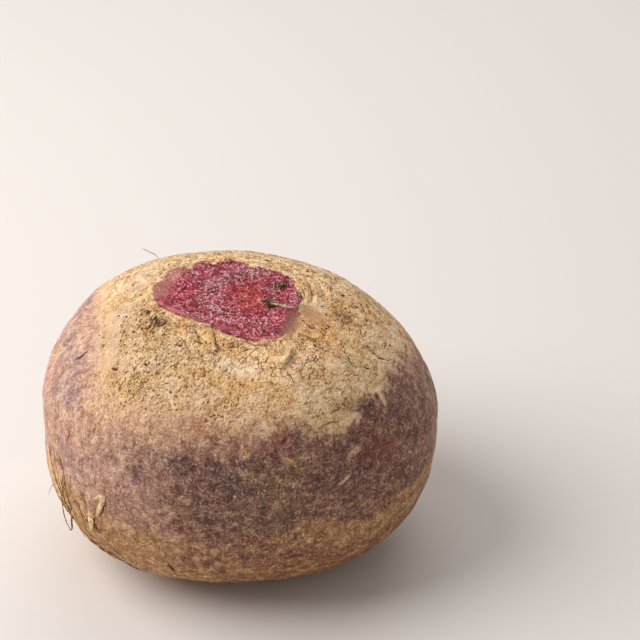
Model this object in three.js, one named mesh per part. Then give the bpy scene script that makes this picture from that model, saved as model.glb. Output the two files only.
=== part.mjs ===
// A beetroot, topped and tailed, standing on the flat where its tail was sliced off.
//
// It is one grown piece: a globe that is wider than it is tall, with a flat cut face where the
// leaf stalks were sliced away, sloping shoulders, a full underside, and two shallow furrows
// that its side roots grew from. Millimetres, +Z up, with -Y the front. The origin is on the
// ground, under the middle of the body.

import * as THREE from "three";

const { clamp, degToRad, smoothstep } = THREE.MathUtils;

// ---- Driving dimensions ------------------------------------------------------------------

const WIDTH = 100; // across the belly, along X
const DEPTH = 89; // front to back, along Y
const HEIGHT = 71.4; // from the ground to the rim of the crown's cut face
const BELLY_HEIGHT = 36.8; // of the widest level

// How square the profile's two quarters are: 2 is an ellipse, and more is fuller.
const SHOULDER_FULLNESS = 2.45;
const UNDERSIDE_FULLNESS = 2.85;

// Seen from above, the belly is an oval drawn out a little into three lobes.
const LOBES = { share: 0.024, azimuth: degToRad(216) };

// The cut face of the crown: its middle, how much it swells, and its radius at every 30
// degrees, anticlockwise from +X as seen from above.
const CROWN = { x: -3.5, y: -1.6, swell: 0.5 };
const CROWN_RADII = [19.4, 20.2, 18.2, 18.8, 19.4, 18.8, 16.8, 12.2, 10.6, 13.2, 20.6, 20.8];

const TAIL_CUT_RADIUS = 14; // of the flat that the beetroot stands on

// The furrows run down the flanks, from the belly to the tail.
const FURROWS = [
  { azimuth: degToRad(207), depth: 0.7, halfWidth: 5 },
  { azimuth: degToRad(38), depth: 0.8, halfWidth: 6 },
];
const FURROW_TOP = 50; // the height at which a furrow starts
const FURROW_FULL = 22; // the height from which it is at its full depth

// Broad swellings and hollows of the flesh: where each one is, how far it stands out (or in,
// where the rise is negative), and how far it spreads.
const SWELLINGS = [
  { azimuth: degToRad(140), height: 57, rise: 1.5, spread: 14 },
  { azimuth: degToRad(100), height: 64, rise: -0.9, spread: 12 },
  { azimuth: degToRad(208), height: 26, rise: 0.6, spread: 14 },
  { azimuth: degToRad(0), height: 38, rise: 0.6, spread: 12 },
  { azimuth: degToRad(48), height: 50, rise: -0.5, spread: 14 },
];

// How late on the way up the crown's own outline and its lean set in.
const OUTLINE_ONSET = 6;
const LEAN_ONSET = 1.4;

// How finely the surface is divided.
const SEGMENTS = 64;
const CROWN_RINGS = 4;
const SHOULDER_RINGS = 14;
const UNDERSIDE_RINGS = 13;
const TAIL_CUT_RINGS = 2;

const bellyRadius = (WIDTH + DEPTH) / 4;
const crownRadius = CROWN_RADII.reduce((sum, radius) => sum + radius) / CROWN_RADII.length;

// ---- The round profile, from the middle of the tail cut to the middle of the crown --------

// A quarter of a superellipse, from the belly to a narrower level: a list of [radius, rise].
function quarter(endRadius, endRise, fullness, rings) {
  const endShare = endRadius / bellyRadius;
  const fullRise = endRise / (1 - endShare ** fullness) ** (1 / fullness);
  const endAngle = Math.acos(endShare ** (fullness / 2));
  return Array.from({ length: rings + 1 }, (_, ring) => {
    const angle = (endAngle * ring) / rings;
    const radius = bellyRadius * Math.cos(angle) ** (2 / fullness);
    const rise = fullRise * Math.sin(angle) ** (2 / fullness);
    return [radius, rise];
  });
}

function roundProfile() {
  const tailCut = Array.from({ length: TAIL_CUT_RINGS }, (_, ring) => {
    return new THREE.Vector2((TAIL_CUT_RADIUS * ring) / TAIL_CUT_RINGS, 0);
  });
  const underside = quarter(TAIL_CUT_RADIUS, BELLY_HEIGHT, UNDERSIDE_FULLNESS, UNDERSIDE_RINGS)
    .map(([radius, drop]) => new THREE.Vector2(radius, BELLY_HEIGHT - drop))
    .reverse();
  const shoulder = quarter(crownRadius, HEIGHT - BELLY_HEIGHT, SHOULDER_FULLNESS, SHOULDER_RINGS)
    .map(([radius, rise]) => new THREE.Vector2(radius, BELLY_HEIGHT + rise))
    .slice(1);
  const crown = Array.from({ length: CROWN_RINGS }, (_, ring) => {
    const share = 1 - (ring + 1) / CROWN_RINGS;
    return new THREE.Vector2(crownRadius * share, HEIGHT + CROWN.swell * (1 - share ** 2));
  });
  return [...tailCut, ...underside, ...shoulder, ...crown];
}

// ---- The grown, lopsided form --------------------------------------------------------------

const crownOutline = new THREE.CatmullRomCurve3(
  CROWN_RADII.map((radius, index) => {
    const azimuth = (index / CROWN_RADII.length) * 2 * Math.PI;
    return new THREE.Vector3(radius * Math.cos(azimuth), radius * Math.sin(azimuth), 0);
  }),
  true,
);

// The outline of the crown's cut face in one direction, on a mean radius of 1.
function crownShape(azimuth) {
  const turns = (azimuth / (2 * Math.PI) + 1) % 1;
  return crownOutline.getPoint(turns).divideScalar(crownRadius);
}

// The outline of the belly in one direction, on a mean radius of 1.
function bellyShape(azimuth) {
  const ovalShare = (WIDTH - DEPTH) / (WIDTH + DEPTH);
  const lobes = LOBES.share * Math.cos(3 * (azimuth - LOBES.azimuth));
  const radius = 1 + ovalShare * Math.cos(2 * azimuth) + lobes;
  return new THREE.Vector3(radius * Math.cos(azimuth), radius * Math.sin(azimuth), 0);
}

// The shortest way round the body between two azimuths, on a level of the given radius.
function arcBetween(start, end, radius) {
  return Math.atan2(Math.sin(end - start), Math.cos(end - start)) * radius;
}

// How far the flesh stands out at a place on the body.
function relief(azimuth, height, radius) {
  let out = 0;
  for (const furrow of FURROWS) {
    const arc = arcBetween(furrow.azimuth, azimuth, radius);
    const along = smoothstep(-height, -FURROW_TOP, -FURROW_FULL);
    out -= furrow.depth * along * Math.exp(-((arc / furrow.halfWidth) ** 2));
  }
  for (const swelling of SWELLINGS) {
    const arc = arcBetween(swelling.azimuth, azimuth, radius);
    const distance = Math.hypot(arc, height - swelling.height);
    out += swelling.rise * Math.exp(-((distance / swelling.spread) ** 2));
  }
  // The two cut faces stay plain.
  const cutRadius = height > BELLY_HEIGHT ? crownRadius : TAIL_CUT_RADIUS;
  return out * smoothstep(radius, cutRadius, cutRadius * 1.6);
}

// Moves a point of the round body to its place on the grown one.
function grow(point) {
  const radius = Math.hypot(point.x, point.y);
  const azimuth = Math.atan2(point.y, point.x);
  const above = clamp((point.z - BELLY_HEIGHT) / (HEIGHT - BELLY_HEIGHT), 0, 1);
  const outline = bellyShape(azimuth).lerp(crownShape(azimuth), above ** OUTLINE_ONSET);
  const lean = above ** LEAN_ONSET;
  const out = relief(azimuth, point.z, radius);
  point.x = outline.x * radius + out * Math.cos(azimuth) + lean * CROWN.x;
  point.y = outline.y * radius + out * Math.sin(azimuth) + lean * CROWN.y;
}

function beetrootBody() {
  const body = new THREE.LatheGeometry(roundProfile(), SEGMENTS).rotateX(Math.PI / 2);
  const places = body.getAttribute("position");
  const point = new THREE.Vector3();
  for (let index = 0; index < places.count; index += 1) {
    point.fromBufferAttribute(places, index);
    grow(point);
    places.setXYZ(index, point.x, point.y, point.z);
  }
  body.computeBoundingBox();
  const middle = body.boundingBox.getCenter(new THREE.Vector3());
  body.translate(-middle.x, -middle.y, 0);
  body.computeVertexNormals();
  return body;
}

const skin = new THREE.MeshStandardMaterial({ color: 0x9a7462, roughness: 0.8, metalness: 0 });

const beetroot = new THREE.Mesh(beetrootBody(), skin);
beetroot.name = "beetroot";

const part = new THREE.Group();
part.add(beetroot);

export default part;
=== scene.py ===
"""A raw beetroot, topped and tailed, standing on the flat where its tail was sliced off.

The body is one dense mesh: a sphere moved ring by ring to the grown form, then given its relief.
Cracks, root hairs, peeled skin and the dry thread on the crown lie on it as pieces of their own.
Sizes are in millimetres and azimuths in degrees, anticlockwise from +X as seen from above.
"""

import math
import random

import bpy
import numpy as np
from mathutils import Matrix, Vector


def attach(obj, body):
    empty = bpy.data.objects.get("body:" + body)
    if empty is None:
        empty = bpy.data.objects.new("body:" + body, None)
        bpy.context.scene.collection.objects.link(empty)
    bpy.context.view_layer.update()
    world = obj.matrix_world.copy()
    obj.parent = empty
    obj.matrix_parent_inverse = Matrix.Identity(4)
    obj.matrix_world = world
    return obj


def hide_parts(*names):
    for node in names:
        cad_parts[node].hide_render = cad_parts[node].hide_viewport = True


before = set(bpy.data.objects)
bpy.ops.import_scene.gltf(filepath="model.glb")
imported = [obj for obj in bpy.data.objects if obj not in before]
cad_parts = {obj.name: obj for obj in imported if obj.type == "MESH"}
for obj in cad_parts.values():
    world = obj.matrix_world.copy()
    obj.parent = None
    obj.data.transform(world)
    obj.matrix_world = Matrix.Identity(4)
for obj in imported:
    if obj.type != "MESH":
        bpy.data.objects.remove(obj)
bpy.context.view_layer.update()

MM = 0.001  # one millimetre, in metres

# ---- Sizes of the grown form, as in the solid ------------------------------------------------

WIDTH = 100.0
DEPTH = 89.0
HEIGHT = 71.4
BELLY_HEIGHT = 36.8
BELLY_RADIUS = (WIDTH + DEPTH) / 4

SHOULDER_FULLNESS = 2.45
UNDERSIDE_FULLNESS = 2.85
LOBE_SHARE = 0.024
LOBE_AZIMUTH = 216

CROWN_X, CROWN_Y = -3.5, -1.6
CROWN_SWELL = 0.5
CROWN_RADII = [19.4, 20.2, 18.2, 18.8, 19.4, 18.8, 16.8, 12.2, 10.6, 13.2, 20.6, 20.8]
CROWN_RADIUS = sum(CROWN_RADII) / len(CROWN_RADII)
TAIL_CUT_RADIUS = 14.0

FURROWS = [(207, 0.7, 5.0), (38, 0.8, 6.0)]  # azimuth, depth, half width
FURROW_TOP, FURROW_FULL = 50.0, 22.0

# Azimuth, height, rise and spread of each broad swelling or hollow.
SWELLINGS = [
    (140, 57, 1.5, 14),
    (100, 64, -0.9, 12),
    (208, 26, 0.6, 14),
    (0, 38, 0.6, 12),
    (48, 50, -0.5, 14),
]
OUTLINE_ONSET = 6
LEAN_ONSET = 1.4

# Nicks and tongues that the knife left in the cut's edge: azimuth, reach and half width in degrees.
KNIFE_NICKS = [(119, -2.7, 2.4), (99, -1.3, 3.5), (87, 0.9, 4), (134, 0.8, 5), (12, -0.5, 5)]
NICK_FADE = 1.5  # how quickly they fade down the shoulder
RELIEF_ONSET = 1.6  # cut radii from the middle at which furrows and swellings are in full

# The first sphere's rings, down to the end of each stretch of the profile. Each of its faces is
# then divided four by four.
COARSE_SEGMENTS = 100
COARSE_RINGS = {"crown": 11, "shoulder": 37, "underside": 58, "tail": 61}


# ---- Small helpers ---------------------------------------------------------------------------


def smoothstep(value, low, high):
    """A soft step from 0 at low to 1 at high."""
    share = np.clip((value - low) / (high - low), 0, 1)
    return share * share * (3 - 2 * share)


def turn_from(start, end):
    """The signed turn in degrees from one azimuth to another."""
    return (np.asarray(end) - start + 180) % 360 - 180


def select_only(piece):
    """Makes a piece the only selected object, and the active one."""
    bpy.ops.object.select_all(action="DESELECT")
    piece.select_set(True)
    bpy.context.view_layer.objects.active = piece


def apply_modifier(piece, kind, **settings):
    """Adds a modifier to a piece and applies it."""
    select_only(piece)
    modifier = piece.modifiers.new(kind.lower(), kind)
    for name, value in settings.items():
        setattr(modifier, name, value)
    bpy.ops.object.modifier_apply(modifier=modifier.name)


# ---- The round profile, from the middle of the crown to the middle of the tail cut -----------


def quarter(end_radius, end_rise, fullness):
    """A quarter of a superellipse, from the belly to a narrower level."""
    share = end_radius / BELLY_RADIUS
    full_rise = end_rise / (1 - share**fullness) ** (1 / fullness)
    angle = np.linspace(0, math.acos(share ** (fullness / 2)), 400)
    radius = BELLY_RADIUS * np.cos(angle) ** (2 / fullness)
    rise = full_rise * np.sin(angle) ** (2 / fullness)
    return radius, rise


def round_profile():
    """The profile's radii, heights and lengths from the crown's middle, and where stretches end."""
    share = np.linspace(0, 1, 60)
    crown = (CROWN_RADIUS * share, HEIGHT + CROWN_SWELL * (1 - share**2))
    radius, rise = quarter(CROWN_RADIUS, HEIGHT - BELLY_HEIGHT, SHOULDER_FULLNESS)
    shoulder = (radius[::-1], BELLY_HEIGHT + rise[::-1])
    radius, drop = quarter(TAIL_CUT_RADIUS, BELLY_HEIGHT, UNDERSIDE_FULLNESS)
    underside = (radius, BELLY_HEIGHT - drop)
    tail = (TAIL_CUT_RADIUS * share[::-1], 0 * share)
    stretches = [crown, shoulder, underside, tail]
    radii = np.concatenate([stretch[0] for stretch in stretches])
    heights = np.concatenate([stretch[1] for stretch in stretches])
    steps = np.hypot(np.diff(radii), np.diff(heights))
    lengths = np.concatenate([[0], np.cumsum(steps)])
    ends = np.cumsum([len(stretch[0]) for stretch in stretches]) - 1
    return radii, heights, lengths, lengths[ends]


PROFILE_RADII, PROFILE_HEIGHTS, PROFILE_LENGTHS, STRETCH_ENDS = round_profile()
RIM_LENGTH = STRETCH_ENDS[0]  # from the crown's middle to its rim
TAIL_LENGTH = STRETCH_ENDS[2]  # from the crown's middle to the tail cut's rim


# ---- The grown, lopsided form ----------------------------------------------------------------


def crown_shape(azimuth):
    """The outline of the crown's cut face in a direction, on a mean radius of 1."""
    radii = np.array(CROWN_RADII) / CROWN_RADIUS
    turns = (azimuth / 360) % 1 * len(radii)
    first = np.floor(turns).astype(int)
    t = turns - first
    before, start, end, after = [radii[(first + k) % len(radii)] for k in (-1, 0, 1, 2)]
    slopes = (1 - t) * (end - before) / 2 - t * (after - start) / 2
    return start + (end - start) * t * t * (3 - 2 * t) + t * (1 - t) * slopes


def knife_edge(azimuth):
    """How far the cut's edge strays from its broad outline: small waves and the knife's nicks."""
    angle = np.radians(azimuth)
    stray = 0.22 * np.sin(9 * angle + 1) + 0.2 * np.sin(14 * angle) + 0.15 * np.sin(23 * angle + 2)
    for middle, reach, half_width in KNIFE_NICKS:
        stray = stray + reach * np.exp(-((turn_from(middle, azimuth) / half_width) ** 2))
    return stray


def belly_shape(azimuth):
    """The outline of the belly in a direction, on a mean radius of 1."""
    oval = (WIDTH - DEPTH) / (WIDTH + DEPTH) * np.cos(np.radians(2 * azimuth))
    lobes = LOBE_SHARE * np.cos(np.radians(3 * (azimuth - LOBE_AZIMUTH)))
    return 1 + oval + lobes


def broad_relief(azimuth, height, radius):
    """How far furrows, swellings and hollows stand out."""
    out = np.zeros_like(radius)
    for middle, depth, half_width in FURROWS:
        arc = np.radians(turn_from(middle, azimuth)) * radius
        along = smoothstep(-height, -FURROW_TOP, -FURROW_FULL)
        out -= depth * along * np.exp(-((arc / half_width) ** 2))
    for middle, level, rise, spread in SWELLINGS:
        arc = np.radians(turn_from(middle, azimuth)) * radius
        out += rise * np.exp(-(arc**2 + (height - level) ** 2) / spread**2)
    cut_radius = np.where(height > BELLY_HEIGHT, CROWN_RADIUS, TAIL_CUT_RADIUS)
    return out * smoothstep(radius, cut_radius, cut_radius * RELIEF_ONSET)


def grown_form(azimuth, length):
    """Places on the grown body, for azimuths and lengths down the profile from the crown."""
    radius = np.interp(length, PROFILE_LENGTHS, PROFILE_RADII)
    height = np.interp(length, PROFILE_LENGTHS, PROFILE_HEIGHTS)
    above = np.clip((height - BELLY_HEIGHT) / (HEIGHT - BELLY_HEIGHT), 0, 1)
    crown_share = above**OUTLINE_ONSET
    shape = belly_shape(azimuth) * (1 - crown_share) + crown_shape(azimuth) * crown_share
    near_rim = np.minimum(length / RIM_LENGTH, 1) ** 3
    near_rim = near_rim * np.exp(-np.maximum(length - RIM_LENGTH, 0) / NICK_FADE)
    out = radius * shape + broad_relief(azimuth, height, radius) + near_rim * knife_edge(azimuth)
    lean = above**LEAN_ONSET
    x = out * np.cos(np.radians(azimuth)) + CROWN_X * lean
    y = out * np.sin(np.radians(azimuth)) + CROWN_Y * lean
    return np.stack([x, y, height], axis=-1)


# ---- The body: its mesh, and where each of its points is on the root -------------------------

SHARE_LEVELS = 50  # the steps in which a share of a texture is put on the mesh


def read_vectors(items, name):
    """A vector property of each item, as rows of three numbers."""
    values = np.empty(len(items) * 3)
    items.foreach_get(name, values)
    return values.reshape(-1, 3)


class Body:
    """The dense mesh of the root, in millimetres, with what its relief and finish need to know."""

    def __init__(self):
        rings = COARSE_RINGS["tail"]
        bpy.ops.object.select_all(action="DESELECT")
        bpy.ops.mesh.primitive_uv_sphere_add(segments=COARSE_SEGMENTS, ring_count=rings, radius=1)
        self.piece = bpy.context.active_object
        self.piece.name = self.piece.data.name = "beetroot_body"
        apply_modifier(self.piece, "SUBSURF", subdivision_type="SIMPLE", levels=2, render_levels=2)
        x, y, z = read_vectors(self.piece.data.vertices, "co").T
        azimuth = np.degrees(np.arctan2(y, x)) % 360
        ring = np.degrees(np.arccos(np.clip(z, -1, 1))) / 180 * rings
        self.length = np.interp(ring, [0, *COARSE_RINGS.values()], [0, *STRETCH_ENDS])
        places = grown_form(azimuth, self.length)
        places[:, :2] -= (places.min(axis=0) + places.max(axis=0))[:2] / 2
        self.from_rim = self.length - RIM_LENGTH
        self.from_tail_rim = TAIL_LENGTH - self.length
        self.place(places)
        bpy.ops.object.shade_smooth()
        self.bearing = np.degrees(np.arctan2(places[:, 1], places[:, 0])) % 360
        self.height = places[:, 2].copy()
        self.radius = np.hypot(places[:, 0], places[:, 1])

    def place(self, places):
        """Moves the mesh's points to new places."""
        self.places = places
        self.piece.data.vertices.foreach_set("co", (places * MM).ravel())
        self.settle()

    def settle(self):
        """Reads the places and normals back after a change to the mesh."""
        self.piece.data.update()
        bpy.context.view_layer.update()
        self.places = read_vectors(self.piece.data.vertices, "co") / MM
        self.normals = read_vectors(self.piece.data.vertices, "normal")

    def touch(self, start, direction):
        """The place and the normal where a straight line first meets the surface."""
        found, place, normal, _ = self.piece.ray_cast(Vector(start) * MM, Vector(direction))
        if not found:
            raise ValueError(f"no surface from {start} along {direction}")
        return place / MM, normal

    def top(self, *spots):
        """Places on the upper side, straight below points given in plan."""
        return [self.touch((x, y, 2 * HEIGHT), (0, 0, -1)) for x, y in spots]

    def side(self, *spots):
        """Places on the flank, each given by its azimuth and its height."""
        found = []
        for azimuth, height in spots:
            across = math.cos(math.radians(azimuth)), math.sin(math.radians(azimuth))
            start = (WIDTH * across[0], WIDTH * across[1], height)
            found.append(self.touch(start, (-across[0], -across[1], 0)))
        return found

    def distance(self, path):
        """How far each point of the mesh is from a path over the surface, in millimetres."""
        spots = np.array([place for place, _ in path])
        square = ((self.places - spots[0]) ** 2).sum(axis=1)
        for start, end in zip(spots[:-1], spots[1:]):
            step = end - start
            share = np.clip((self.places - start) @ step / (step @ step), 0, 1)
            away = self.places - start - share[:, None] * step
            square = np.minimum(square, (away**2).sum(axis=1))
        return np.sqrt(square)

    def nearness(self, path, width):
        """How near each point of the mesh is to a path: 1 on it, falling away over a width."""
        return np.exp(-((self.distance(path) / width) ** 2))

    def carve(self, rise):
        """Moves each point out along its normal by a rise in millimetres."""
        moved = self.places + self.normals * rise[:, None]
        moved[:, 2] = np.maximum(moved[:, 2], 0)
        self.place(moved)

    def swell(self, kind, share, strength, **settings):
        """Displaces the mesh by a procedural texture, as strongly as a share per point says."""
        texture = bpy.data.textures.new("swell", kind)
        for name, value in settings.items():
            setattr(texture, name, value)
        group = self.piece.vertex_groups.new(name="swell")
        levels = np.round(np.clip(share, 0, 1) * SHARE_LEVELS).astype(int)
        for level in range(1, SHARE_LEVELS + 1):
            members = np.flatnonzero(levels == level).tolist()
            group.add(members, level / SHARE_LEVELS, "REPLACE")
        apply_modifier(
            self.piece,
            "DISPLACE",
            texture=texture,
            texture_coords="LOCAL",
            strength=strength * MM,
            mid_level=0.5,
            vertex_group=group.name,
        )
        self.piece.vertex_groups.clear()
        self.settle()

    def keep(self, name, values):
        """Stores one number per point, for the finish to read."""
        layer = self.piece.data.attributes.new(name, "FLOAT", "POINT")
        layer.data.foreach_set("value", np.asarray(values, dtype=np.float32))


# ---- The relief of the skin and of the cut ---------------------------------------------------

# Folds of the skin beside the cut, in plan: spots, half width, rise.
CROWN_FOLDS = [
    ([(-14, -11), (-9.5, -12.9), (-6.4, -13.7)], 0.7, 0.7),
    ([(-11.2, -12.5), (-10.2, -14.5), (-9.5, -16.4), (-9.2, -17.6), (-7.6, -19)], 0.45, -0.8),
    ([(-10.2, -15.8), (-8.4, -15), (-6.6, -15.6)], 0.7, 0.5),
    ([(-6.2, -14), (-5.6, -16), (-5.2, -18), (-4.8, -19.6)], 0.4, -0.7),
    ([(-4.4, -16.2), (-3.4, -18.2), (-1.6, -19), (0.4, -18.8)], 0.6, 0.7),
    ([(-3.6, -15.6), (-2.6, -16.2), (-1, -16.4), (1, -17.4), (3, -18.6)], 0.4, -0.6),
    ([(-5, -19), (-4.4, -20.6), (-5, -22)], 0.5, -0.7),
    ([(-2, -20), (2, -19.9), (6, -20), (10, -20.8)], 0.6, 0.6),
    ([(-3.4, -20.6), (0, -21), (5, -21.4), (9, -22)], 0.4, -0.5),
    ([(-16, -10.5), (-13, -14.5), (-11, -17), (-9, -20.5), (-6, -22)], 0.6, 0.4),
    ([(-20, -6), (-17, -9), (-14, -13)], 0.5, -0.4),
    ([(-1, -22.3), (3, -22.6), (8, -22.4)], 0.4, -0.4),
    ([(-2, -24.4), (3, -24.6), (9, -24)], 0.5, 0.35),
    ([(-13, -19), (-9, -23), (-4, -25)], 0.6, -0.3),
    ([(16.6, 11), (17.6, 7), (18.1, 4), (18.4, 1), (18, -2)], 0.4, -0.6),
    ([(17.4, 9), (18.8, 5), (19.6, 1), (19.4, -3)], 0.5, 0.5),
    ([(16, 4), (16.3, 1), (16, -3)], 0.35, -0.5),
    ([(19.5, 9.5), (21, 5), (21.4, 1)], 0.4, -0.35),
    ([(21.5, 9), (23, 5), (23, 1)], 0.5, 0.3),
    ([(2, 19), (5.5, 19.4), (8.5, 19), (11.5, 17.6)], 0.45, -0.7),
    ([(-1, 20.3), (5, 20.8), (11, 19.2)], 0.5, 0.4),
    ([(-22.5, 4), (-22, 9), (-19.6, 14), (-15.5, 18)], 0.6, 0.25),
    ([(-24.5, 3), (-24, 9), (-21, 15.4), (-17, 19.6)], 0.5, -0.2),
    ([(15.8, -16), (17.5, -16.6), (20.5, -17.5), (21, -19.5), (22.5, -20)], 0.5, -0.4),
]

# Scarps, ridges and cracks further out, in plan.
SHOULDER_MARKS = [
    ([(13.2, -22.6), (12.4, -24.6), (11.4, -26.6)], 0.5, 0.7),
    ([(14.2, -23.4), (13.6, -25.4), (12.8, -27.4)], 0.8, -0.5),
    ([(-34.4, 2), (-34.4, -8), (-33.8, -17), (-33, -26)], 0.7, 0.28),
    ([(-33, -3), (-32.9, -10), (-32.2, -17)], 0.8, -0.18),
    ([(32, -14), (34.5, -14.2), (35.2, -14.5), (37.5, -13.5)], 0.5, -0.4),
    ([(27.3, -19), (27.5, -20.8), (28.8, -21.2), (30.5, -20.7)], 0.4, -0.35),
    ([(27.2, -23.5), (29.5, -23.2)], 0.35, -0.3),
    ([(15, -19.5), (14.8, -23)], 0.35, -0.2),
    ([(17.7, -27.5), (18, -29.7)], 0.35, -0.25),
    ([(-5, -23.5), (-5.2, -26)], 0.35, -0.25),
    ([(6, -26), (6.5, -28.5)], 0.35, -0.25),
    ([(5, -24), (5.5, -26)], 0.35, -0.2),
]

# Grooves, slits and ridges of the flank, by azimuth and height.
FLANK_MARKS = [
    ([(209, 38), (210, 33), (211, 29), (210.5, 26)], 0.6, -0.55),
    ([(211.4, 38), (212.4, 33), (213.4, 28)], 0.7, 0.3),
    ([(222.9, 26), (223.6, 22.8), (225.4, 23), (227.6, 21)], 0.5, -0.6),
    ([(224.4, 26), (226.4, 23.8), (228.6, 21.4)], 0.5, 0.5),
    ([(219.9, 34), (220.7, 31), (220.8, 28.6)], 0.45, -0.5),
    ([(214, 51), (213.5, 46)], 0.6, 0.3),
    ([(246.5, 18), (247.5, 14)], 0.5, -0.35),
    ([(289.5, 29.5), (287.5, 27)], 0.5, -0.3),
    ([(286, 21.5), (291, 21.8)], 0.4, -0.25),
    ([(198, 33), (200, 26), (203, 19), (207, 12)], 0.6, -0.6),
    ([(201, 30), (204, 22), (208, 14)], 0.6, 0.5),
    ([(205, 27), (209, 18), (214, 10)], 0.5, -0.6),
    ([(213, 24), (217, 16), (222, 9)], 0.6, 0.5),
    ([(218, 25), (222, 16), (228, 8)], 0.5, -0.5),
    ([(230, 20), (235, 12), (240, 7)], 0.5, -0.2),
    ([(36, 40), (38, 28), (40, 16)], 0.8, -0.4),
    ([(41, 42), (43, 28), (45, 14)], 0.8, 0.3),
    ([(31, 36), (32, 24), (35, 12)], 0.7, -0.25),
]

# Pits of the flank: azimuth, height, half width and depth.
FLANK_PITS = [(284, 22.5, 0.8, 0.5), (285.5, 56, 1.0, 0.35), (283, 54, 0.7, 0.3), (62, 44, 1.2, 0.6)]

# Pits of the shoulders, in plan, all of one size.
CROWN_PITS = [(-14, -18.3), (-29.8, -21.7), (26, 5), (23, 5.5), (18, -12.8), (-22.2, -22.4), (13, 17)]
PIT_DEPTH, PIT_HALF_WIDTH = 0.4, 0.6

# Where the cut's edge is leathery and has no lip, in plan.
LEATHERY_EDGE = [(-17, -6), (-21.4, -1), (-21.4, 3), (-19, 9), (-15, 14.6)]
LEATHERY_REACH = 6

CRUSTY_RELIEF_AZIMUTH = 235  # the middle of the crusty side of the cork
WRINKLE_HEIGHT = 0.07
TAIL_HOLLOW, TAIL_RINGS = 0.4, 0.14  # the depth of the tail cut's hollow and the height of its rings


def shape_relief(body):
    """Gives the grown form the small relief of cork, skin and cut flesh."""
    skin = smoothstep(body.from_rim, 0, 3) * smoothstep(body.from_tail_rim, 1, 8)
    flesh = smoothstep(-body.from_rim, 0.3, 2)
    cap = skin * smoothstep(body.height, 50, 64)
    crusty = cap * smoothstep(np.abs(turn_from(CRUSTY_RELIEF_AZIMUTH, body.bearing)), 95, 40)
    base = smoothstep(-body.height, -26, -6) * smoothstep(body.from_tail_rim, 0, 4)
    body.swell("CLOUDS", skin, 0.9, noise_scale=0.016, noise_depth=2)
    body.swell("CLOUDS", skin, 0.45, noise_scale=0.0045, noise_depth=2)
    body.swell("CLOUDS", cap, 0.3, noise_scale=0.0018, noise_depth=2)
    body.swell("CLOUDS", crusty, 0.5, noise_scale=0.0024, noise_depth=3, noise_type="HARD_NOISE")
    body.swell("CLOUDS", flesh, 0.9, noise_scale=0.007, noise_depth=1)
    body.swell("CLOUDS", flesh, 0.35, noise_scale=0.0012, noise_depth=3)

    rise = np.zeros(len(body.places))
    for spots, width, height in CROWN_FOLDS + SHOULDER_MARKS:
        rise += height * body.nearness(body.top(*spots), width)
    for spots, width, height in FLANK_MARKS:
        rise += height * body.nearness(body.side(*spots), width)
    for azimuth, height, width, depth in FLANK_PITS:
        rise -= depth * body.nearness(body.side((azimuth, height)), width)
    for spot in CROWN_PITS:
        rise -= PIT_DEPTH * body.nearness(body.top(spot), PIT_HALF_WIDTH)

    # The knife left a low lip of skin around the flesh, which has shrunk a little below it,
    # except on the leathery left.
    lipped = 1 - body.nearness(body.top(*LEATHERY_EDGE), LEATHERY_REACH)
    rise += 0.15 * lipped * np.exp(-(((body.from_rim - 0.6) / 0.5) ** 2))
    rise -= 0.18 * lipped * smoothstep(-body.from_rim, -0.2, 0.6)
    rise += wrinkles(body) * base
    rise += tail_scar(body)
    body.carve(rise)


def wrinkles(body):
    """The fine level wrinkles around the base."""
    sway = 3 * np.sin(np.radians(3 * body.bearing)) + 2 * np.sin(np.radians(7 * body.bearing + 40))
    waves = np.sin(body.length * 2.6 + sway) + 0.6 * np.sin(body.length * 4.1 - 1.7 * sway)
    return WRINKLE_HEIGHT * waves


def tail_scar(body):
    """The shallow rings of the sliced tail, hollowed so that the root stands on their rim."""
    inside = smoothstep(body.from_tail_rim, 0, -2.5)
    rings = TAIL_RINGS * np.sin(body.radius * 2.4 + 0.6 * np.sin(np.radians(2 * body.bearing)))
    return inside * (-TAIL_HOLLOW + rings)


body = Body()
shape_relief(body)


# ---- Where each kind of skin and flesh lies --------------------------------------------------

# The edge of the tan cork cap in plan, and how softly it ends there.
CORK_EDGE = [
    (-36.6, 17.3, 3.5),
    (-36.4, 5.1, 3),
    (-34.8, -5.6, 2),
    (-34.8, -14, 2),
    (-34, -22.8, 2.6),
    (-35, -28, 5),
    (-31.2, -32, 5),
    (-25.3, -34.6, 5),
    (-19.2, -35.7, 5),
    (-11.1, -36.8, 4.5),
    (-6, -38.4, 4.5),
    (-1, -39, 4.5),
    (5.2, -38.6, 4),
    (11.1, -37.6, 3.5),
    (14.5, -36.8, 3),
    (17.5, -37, 2.8),
    (21, -36.8, 2.6),
    (24.4, -36, 2.4),
    (27.6, -33.2, 2.2),
    (29.6, -30, 2),
    (31.2, -27, 2),
    (34.2, -24.8, 2),
    (36.6, -21.6, 2),
    (37.6, -16.4, 2.4),
    (40, -9.8, 3),
    (43, -2.6, 4),
    (42.4, 8.1, 4),
    (39, 18, 3.5),
    (33, 27, 2.5),
    (25, 32, 2.5),
    (14, 35, 3),
    (4, 33.5, 2.5),
    (-8, 36.5, 3),
    (-20, 34, 3.5),
    (-30, 28, 3.5),
]

# Around the flank: azimuth, how purple the skin is, how rosy it is just below the cork.
FLANK_TONES = [
    (0, 0.5, 0.3),
    (30, 0.4, 0.5),
    (60, 0.75, 0.5),
    (90, 0.5, 0.6),
    (115, 0.8, 0.5),
    (145, 0.35, 0.4),
    (165, 0.15, 0.1),
    (200, 0.15, 0.0),
    (222, 0.28, 0.5),
    (232, 0.44, 0.9),
    (248, 0.52, 1.0),
    (257, 0.85, 1.0),
    (270, 1.0, 0.8),
    (285, 0.8, 0.6),
    (295, 0.95, 0.2),
    (315, 1.0, 0.0),
    (335, 0.7, 0.1),
    (350, 0.5, 0.2),
]

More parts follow.
